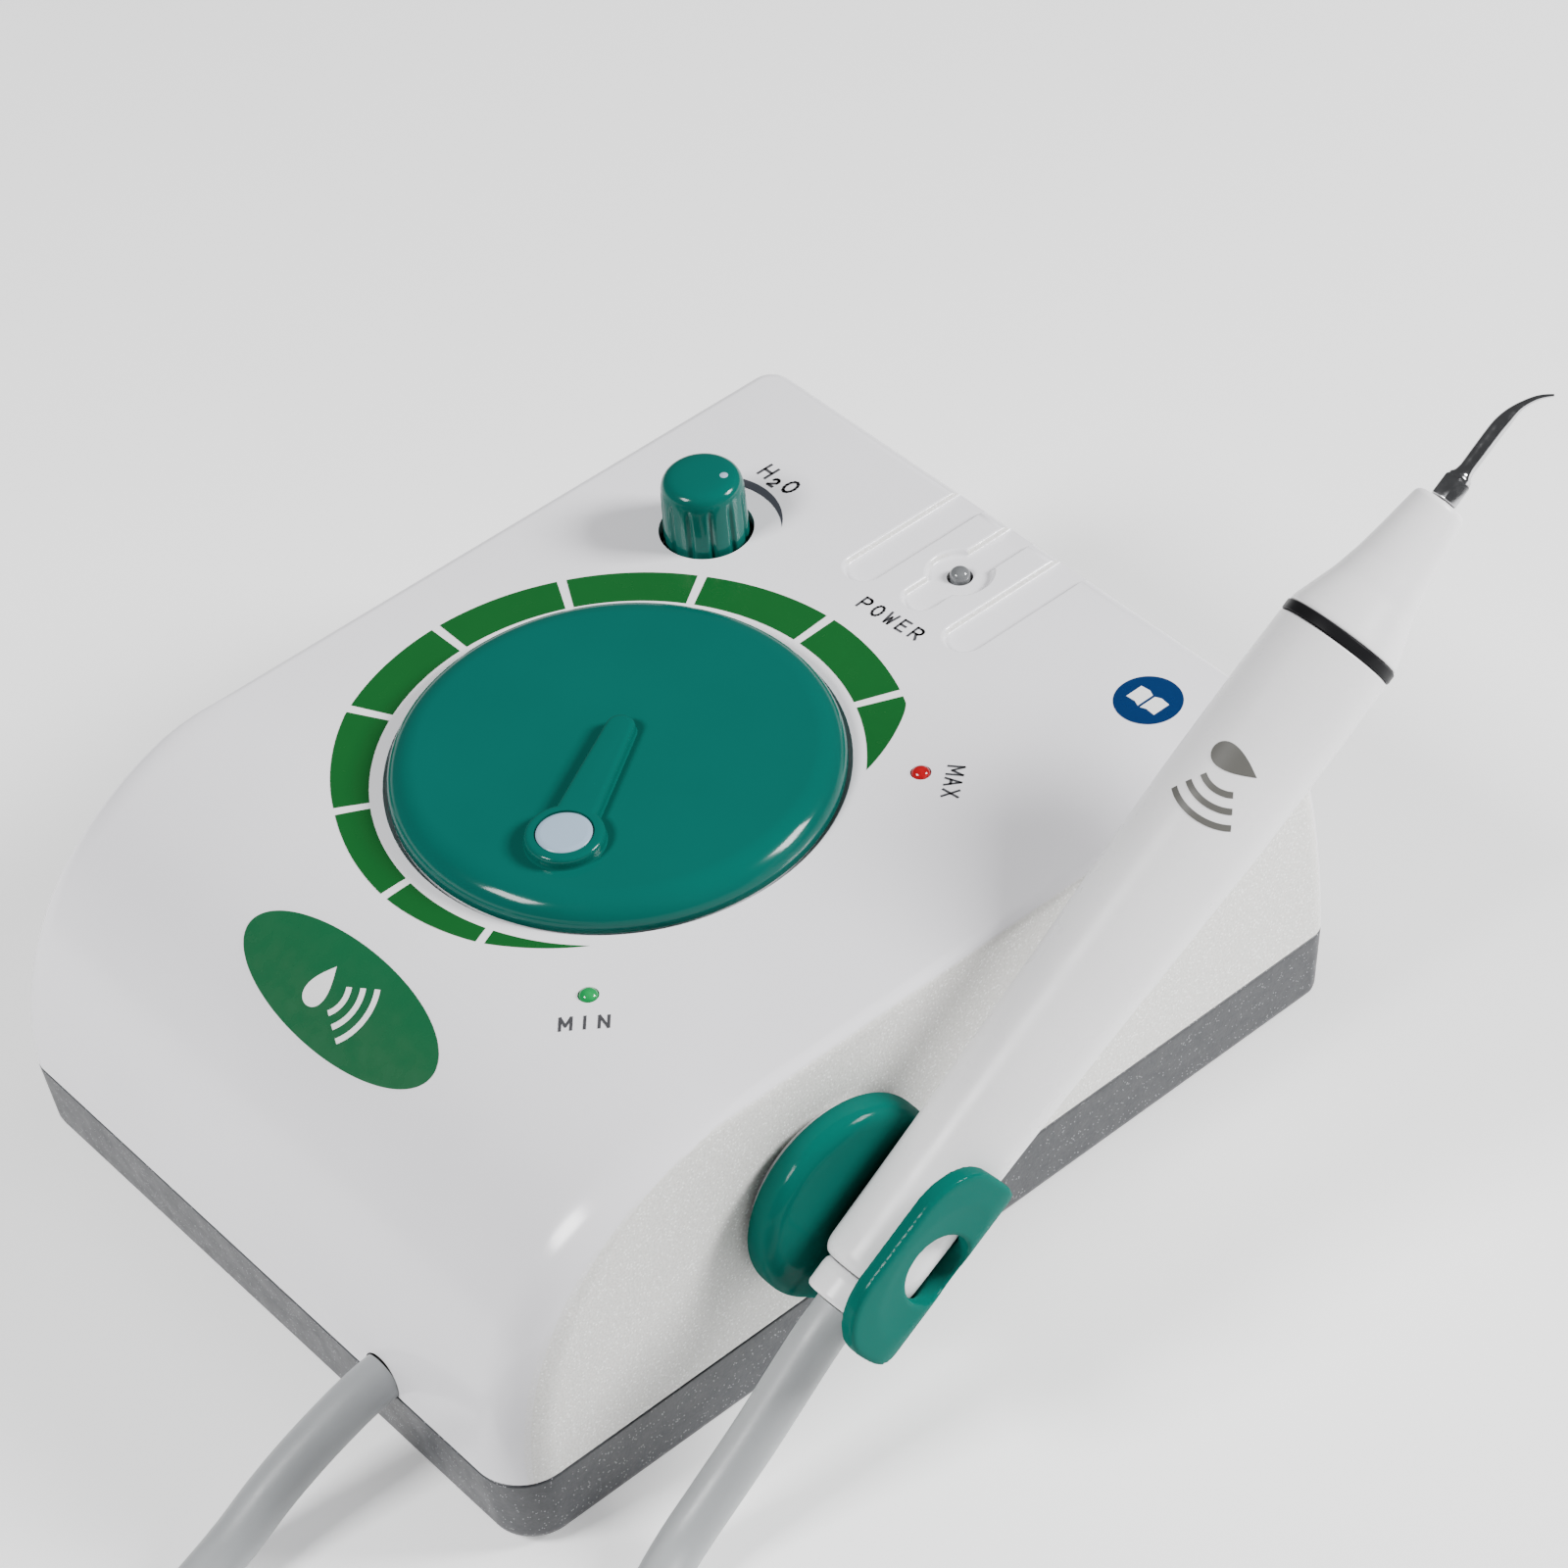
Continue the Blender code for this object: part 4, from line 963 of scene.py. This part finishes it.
def decal(name, strips, lay, lift, material, body):
    """Ink on a curved surface: strips between two rows of (u, v) points, laid on by a function."""
    ink = bmesh.new()
    steps = 6
    for first, second in strips:
        rows = [[ink.verts.new(lay(a[0] + (b[0] - a[0]) * k / steps,
                                   a[1] + (b[1] - a[1]) * k / steps, lift))
                 for a, b in zip(first, second)] for k in range(steps + 1)]
        for low, high in zip(rows, rows[1:]):
            for i in range(len(low) - 1):
                ink.faces.new((low[i], low[i + 1], high[i + 1], high[i]))
    bmesh.ops.recalc_face_normals(ink, faces=ink.faces)
    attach(smooth(new_object(name, ink, material)), body)


def oval(half_wide, half_high):
    """The upper and lower halves of an ellipse, as two rows of points."""
    turns = [pi * i / 60 for i in range(61)]
    upper = [(-half_wide * cos(t), half_high * sin(t)) for t in turns]
    return upper, [(u, -v) for u, v in upper]


def emblem(size):
    """A water drop with three sound arcs to its right, in units of size."""
    drop = [(0.42 * sin(t) * sin(t / 2) ** 1.2, 0.62 * cos(t) - 0.05)
            for t in (pi * i / 32 for i in range(33))]
    strips = [([(size * (u - 0.9), size * v) for u, v in drop],
               [(size * (-u - 0.9), size * v) for u, v in drop])]
    for radius in (0.75, 1.12, 1.49):
        rows = []
        for r in (radius - 0.075, radius + 0.075):
            rows.append([(size * (r * cos(t) - 0.9), size * (r * sin(t) - 0.05))
                         for t in map(radians, range(-34, 35, 2))])
        strips.append(tuple(rows))
    return strips


BADGE_X = -0.5
BADGE_REACH = 55.0
NOSE_TABLE = []


def along_nose(distance):
    """The profile angle at a distance in mm up the curved front from the seam."""
    if not NOSE_TABLE:
        total, last = 0.0, nose_point(0.0, 0.0, 0.0)
        for k in range(901):
            angle = radians(k / 10)
            point = nose_point(0.0, angle, 0.0)
            total += (point - last).length / MM
            NOSE_TABLE.append((total, angle))
            last = point
    for (a, low), (b, high) in zip(NOSE_TABLE, NOSE_TABLE[1:]):
        if distance <= b:
            return low + (high - low) * (distance - a) / max(b - a, 1e-9)
    return NOSE_TABLE[-1][1]


def make_badge(green, white):
    """A plain green oval on the nose with a water drop and three sound arcs in it."""
    def lay(u, v, lift):
        return nose_point(BADGE_X + u, along_nose(BADGE_REACH + v), lift)
    decal("badge", [oval(24.2, 9.2)], lay, 0.08, green, "unit")
    mark = [tuple([(u + 2.3, v * 0.85) for u, v in row] for row in rows) for rows in emblem(7.5)]
    decal("badge_mark", mark, lay, 0.14, white, "unit")


def make_printing():
    green = ink_paint("scale_ink", (0.009, 0.086, 0.018), 0.25)
    grey = ink_paint("label_ink", (0.055, 0.055, 0.060), 0.35)
    blue = ink_paint("icon_ink", (0.003, 0.023, 0.090), 0.3)
    white = ink_paint("icon_white", (0.80, 0.80, 0.80), 0.3)
    make_scale(green)
    make_water_scale(ink_paint("arc_ink", (0.050, 0.054, 0.065), 0.35))
    make_icon(blue, white)
    make_badge(ink_paint("badge_ink", (0.008, 0.092, 0.035), 0.28), white)
    words("label_min", "MIN", (34.8, -48.5), (39.9, -42.8), 2.5, 0.50, grey)
    words("label_max", "MAX", (33.8, 34.8), (38.2, 29.3), 2.7, 0.47, grey)
    words("label_power", "POWER", (-6.9, 50.6), (6.7, 51.7), 2.7, 0.47, grey)
    words("label_water", "H2O", (-45.6, 61.6), (-37.6, 61.6), 3.2, 0.55, grey)


# ---- holder and handpiece

def holder_frame():
    """Holder's own axes: X out from the unit, Y along the handpiece, Z across it."""
    return Matrix.Translation(at(*PIVOT)) @ Matrix.Rotation(TILT, 4, "X")


def make_holder(green, white):
    thick, rim = 6.0, 18.2
    puck = turned("holder_disc", [(0, thick), (rim - 1.5, thick), (rim, thick - 1.5), (rim, 0.0),
                                  (4.4, 0.0), (4.4, 3.4), (0, 3.4)],
                  at(*PIVOT), OUTWARD, green, 128, 1.3)
    inner, outer, half, high = 8.5, 11.4, 17.4, 15.0
    section = [(4.0, -outer)] + arc((HAND_OFFSET, 0.0), outer, -90, 0, 20)
    section += [(HAND_OFFSET + outer, high), (HAND_OFFSET + inner, high)]
    section += arc((HAND_OFFSET, 0.0), inner, 0, -180, 37) + [(4.0, 0.0)]
    across = holder_frame() @ Matrix.Rotation(pi / 2, 4, "X")
    cradle = prism("cradle", section, -half, half, across, green)
    outline = rounded_rectangle((-half, -outer - 0.3), (half, high + 0.01), (13, 11.5, 10, 11), 16)
    side_on = holder_frame() @ Matrix(((0, 0, 1, 0), (1, 0, 0, 0), (0, 1, 0, 0), (0, 0, 0, 1)))
    shape = prism("trim", outline, -40, 40, side_on, green)
    combine(cradle, [shape], "INTERSECT")
    window = prism("cut", [(0.4 + 6.3 * cos(a), 0.8 + 7.4 * sin(a))
                           for a in (tau * i / 64 for i in range(64))],
                   HAND_OFFSET + 6, HAND_OFFSET + 16, side_on, green)
    hollow = [(0.0, -0.6), (4.0, -0.56), (8.0, -0.42), (11.0, -0.22), (13.0, 0.0), (14.5, 0.4),
              (15.5, 0.9), (15.5, 6.0), (0.0, 6.0)]
    face = holder_frame() @ Matrix.Translation(((HAND_OFFSET + outer) * MM, 0, 1.5 * MM))
    dish = turned("dish", hollow, Vector(), face @ OUTWARD
                  @ Matrix.Diagonal((0.82, 1.0, 1.0, 1.0)), green, 64, 0)
    combine(cradle, [window, dish])
    combine(cradle, [puck], "UNION")
    moulded(cradle, 0.42, 7)
    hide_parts("handpiece_holder")
    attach(cradle, "holder")
    washer = turned("washer", [(16.1, 0.7), (16.1, 0.0), (5.2, 0.0), (5.2, 0.7)],
                    at(HALF_WIDTH + 0.3, PIVOT.y, PIVOT.z), OUTWARD, white, 96, 0.15, True)
    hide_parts("holder_washer")
    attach(washer, "unit")


HAND_TURN = Matrix.Rotation(TILT - pi / 2, 4, "X")
REAR_END = -13.8
HAND_LENGTH = 158.0


def along_hand(distance):
    """A point on the handpiece's axis, counted in mm along it from the pivot."""
    return at(HAND_X, PIVOT.y + distance * cos(TILT), PIVOT.z + distance * sin(TILT))


def make_handpiece(white, black):
    start = along_hand(REAR_END)
    plug = [(0, 14.0), (4.2, 14.0), (4.2, 5.6), (6.1, 5.6), (6.45, 5.1), (6.6, 4.2), (6.55, 0.6),
            (6.2, 0.0), (4.3, 0.0), (4.3, 0.4), (0, 0.4)]
    connector = turned("connector", plug, start, HAND_TURN, white, 96, 0.25)
    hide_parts("hose_connector")
    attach(connector, "hose_end")
    body = [(9.9, 129.75), (10.28, 129.5), (10.4, 118), (10.3, 98), (9.65, 77), (9.0, 59),
            (8.45, 36), (8.15, 18), (8.0, 8.4), (7.85, 7.4), (7.5, 6.6), (7.1, 6.1), (6.7, 5.85),
            (4.6, 5.85), (4.6, 18), (6.9, 22), (8.6, 80), (8.8, 129.75)]
    sleeve = turned("sleeve", body, start, HAND_TURN, white, 128, 1.2, True)
    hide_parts("handpiece_sleeve")
    band = [(10.05, 131.75), (10.34, 131.6), (10.34, 129.95), (10.05, 129.8), (7.0, 129.8),
            (7.0, 131.75)]
    ring = turned("band", band, start, HAND_TURN, black, 128, 0.15, True)
    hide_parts("handpiece_ring")
    nose = [(2.9, 158.0), (4.1, 158.0), (4.65, 157.3), (5.0, 155.0), (5.6, 150.5), (6.5, 144.8),
            (7.6, 140.0), (9.0, 135.8), (10.0, 132.8), (10.18, 131.8), (8.2, 131.8), (5.2, 142.0),
            (2.9, 150.0)]
    cap = turned("nose", nose, start, HAND_TURN, white, 128, 0.9, True)
    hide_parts("nose_cap")
    for piece in (sleeve, ring, cap):
        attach(piece, "handpiece")


def make_mark(ink):
    """The badge's drop and arcs again, along the side of the sleeve that faces out and forward."""
    centre_at, turn = 99.0, radians(-6.0)
    facing = Vector((0.5, -0.44, 0.75))
    facing = (facing - HAND_AXIS * facing.dot(HAND_AXIS)).normalized()
    across = HAND_AXIS.cross(facing)

    def lay(u, v, lift):
        distance = centre_at - u
        radius = 10.3 - 0.031 * max(0.0, 98.0 - distance) + 0.005 * max(0.0, distance - 98.0)
        around = turn + v / radius
        return (along_hand(REAR_END + distance)
                + (radius + lift) * MM * (facing * cos(around) + across * sin(around)))
    decal("sleeve_mark", emblem(7.0), lay, 0.06, ink, "handpiece")


def make_tip(steel):
    base = along_hand(REAR_END + HAND_LENGTH)
    forward = Vector((0.0, cos(TILT), sin(TILT)))
    down = Vector((0.0, sin(TILT), -cos(TILT)))
    bend = 0.83 * Vector((1.0, 0.0, 0.0)) + 0.55 * down
    stations = [(4.4, 0.0, 2.1), (5.0, 0.0, 2.0), (5.7, 0.0, 1.5), (6.8, 0.0, 1.3),
                (9.5, 0.0, 1.33), (12.9, 0.0, 1.35), (15.0, 0.05, 1.33), (16.5, 0.2, 1.22),
                (17.8, 0.38, 1.02), (19.0, 0.65, 0.78), (20.2, 1.1, 0.61), (21.4, 1.7, 0.5),
                (22.4, 2.35, 0.42), (23.3, 3.15, 0.34), (24.3, 4.25, 0.22)]
    points = [base + forward * (s * MM) + bend * (b * MM) for s, b, _ in stations]
    steps = 6
    radii = [(low + (high - low) * i / steps) * MM
             for (_, _, low), (_, _, high) in zip(stations, stations[1:]) for i in range(steps)]
    shaft = tube("tip_shaft", curved(points, steps), radii, Vector((1, 0, 0)), 32, steel)
    nut = turned("tip_nut", [(0, 4.6), (2.1, 4.6), (2.6, 4.2), (2.6, 0.5), (2.2, 0.0), (0, 0.0)],
                 base, HAND_TURN, steel, 6, 0)
    bevel(nut, 0.15, 2, 30)
    smooth(nut, 20)
    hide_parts("scaler_tip")
    for piece in (shaft, nut):
        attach(piece, "tip")


# ---- what keeps its own shape

def dress_nodes(grey):
    """Model parts whose shape is right get their finished surfaces."""
    finish = {
        "steel": steel_paint("machined_steel", (0.55, 0.55, 0.56), 0.25),
        "brass": steel_paint("turned_brass", (0.60, 0.43, 0.18), 0.28),
        "black_plastic": rubber_paint("black_mould", (0.025, 0.025, 0.027), 0.5),
        "black_rubber": rubber_paint("foot_rubber", (0.02, 0.02, 0.02), 0.75),
        "ceramic": rubber_paint("piezo_ceramic", (0.60, 0.55, 0.42), 0.6),
        "white_matt": gloss_plastic("inner_plastic", (0.62, 0.62, 0.62), 0.45, 0.4).material,
        "titanium": steel_paint("titanium", (0.42, 0.40, 0.38), 0.32),
        "board_green": board_paint(),
        "grey_tray": grey}
    slots = {part["node"]: part["material_slot"] for part in frame["record"]["subparts"]}
    for name, node in frame["nodes"].items():
        paint = finish.get(slots[name])
        if paint:
            node.data.materials.clear()
            node.data.materials.append(paint)
            smooth(node)


def main():
    make_camera()
    make_studio()
    make_hose()
    green = gloss_plastic("green_plastic", (0.0, 0.088, 0.070), 0.12, 0.20)
    # the holder is the dial's green plastic painted a little lighter: painted light that stands in
    # for the reflection it gives up with no specular
    holder_green_lit = gloss_plastic("holder_plastic_lighter", (0.0, 0.095, 0.074), 0.14, 0.0)
    holder_green_lit.set("Coat Weight", 0.12)
    holder_green_lit.set("Coat Roughness", 0.12)
    white = gloss_plastic("marker_plastic", (0.30, 0.40, 0.51), 0.25, 0.3)
    pale = gloss_plastic("handpiece_plastic", (0.82, 0.81, 0.82), 0.27, 0.35)
    grey = make_tray_paint()
    make_cover()
    make_tray(grey)
    make_dial(green.material, white.material)
    make_water_knob(green.material, white.material)
    make_lights()
    make_printing()
    make_holder(holder_green_lit.material, pale.material)
    black = gloss_plastic("band_rubber", (0.010, 0.010, 0.011), 0.35, 0.06)
    make_handpiece(pale.material, black.material)
    make_mark(ink_paint("mark_ink", (0.10, 0.098, 0.09), 0.35))
    make_tip(steel_paint("tip_steel", (0.50, 0.50, 0.51), 0.14))
    dress_nodes(grey)


main()
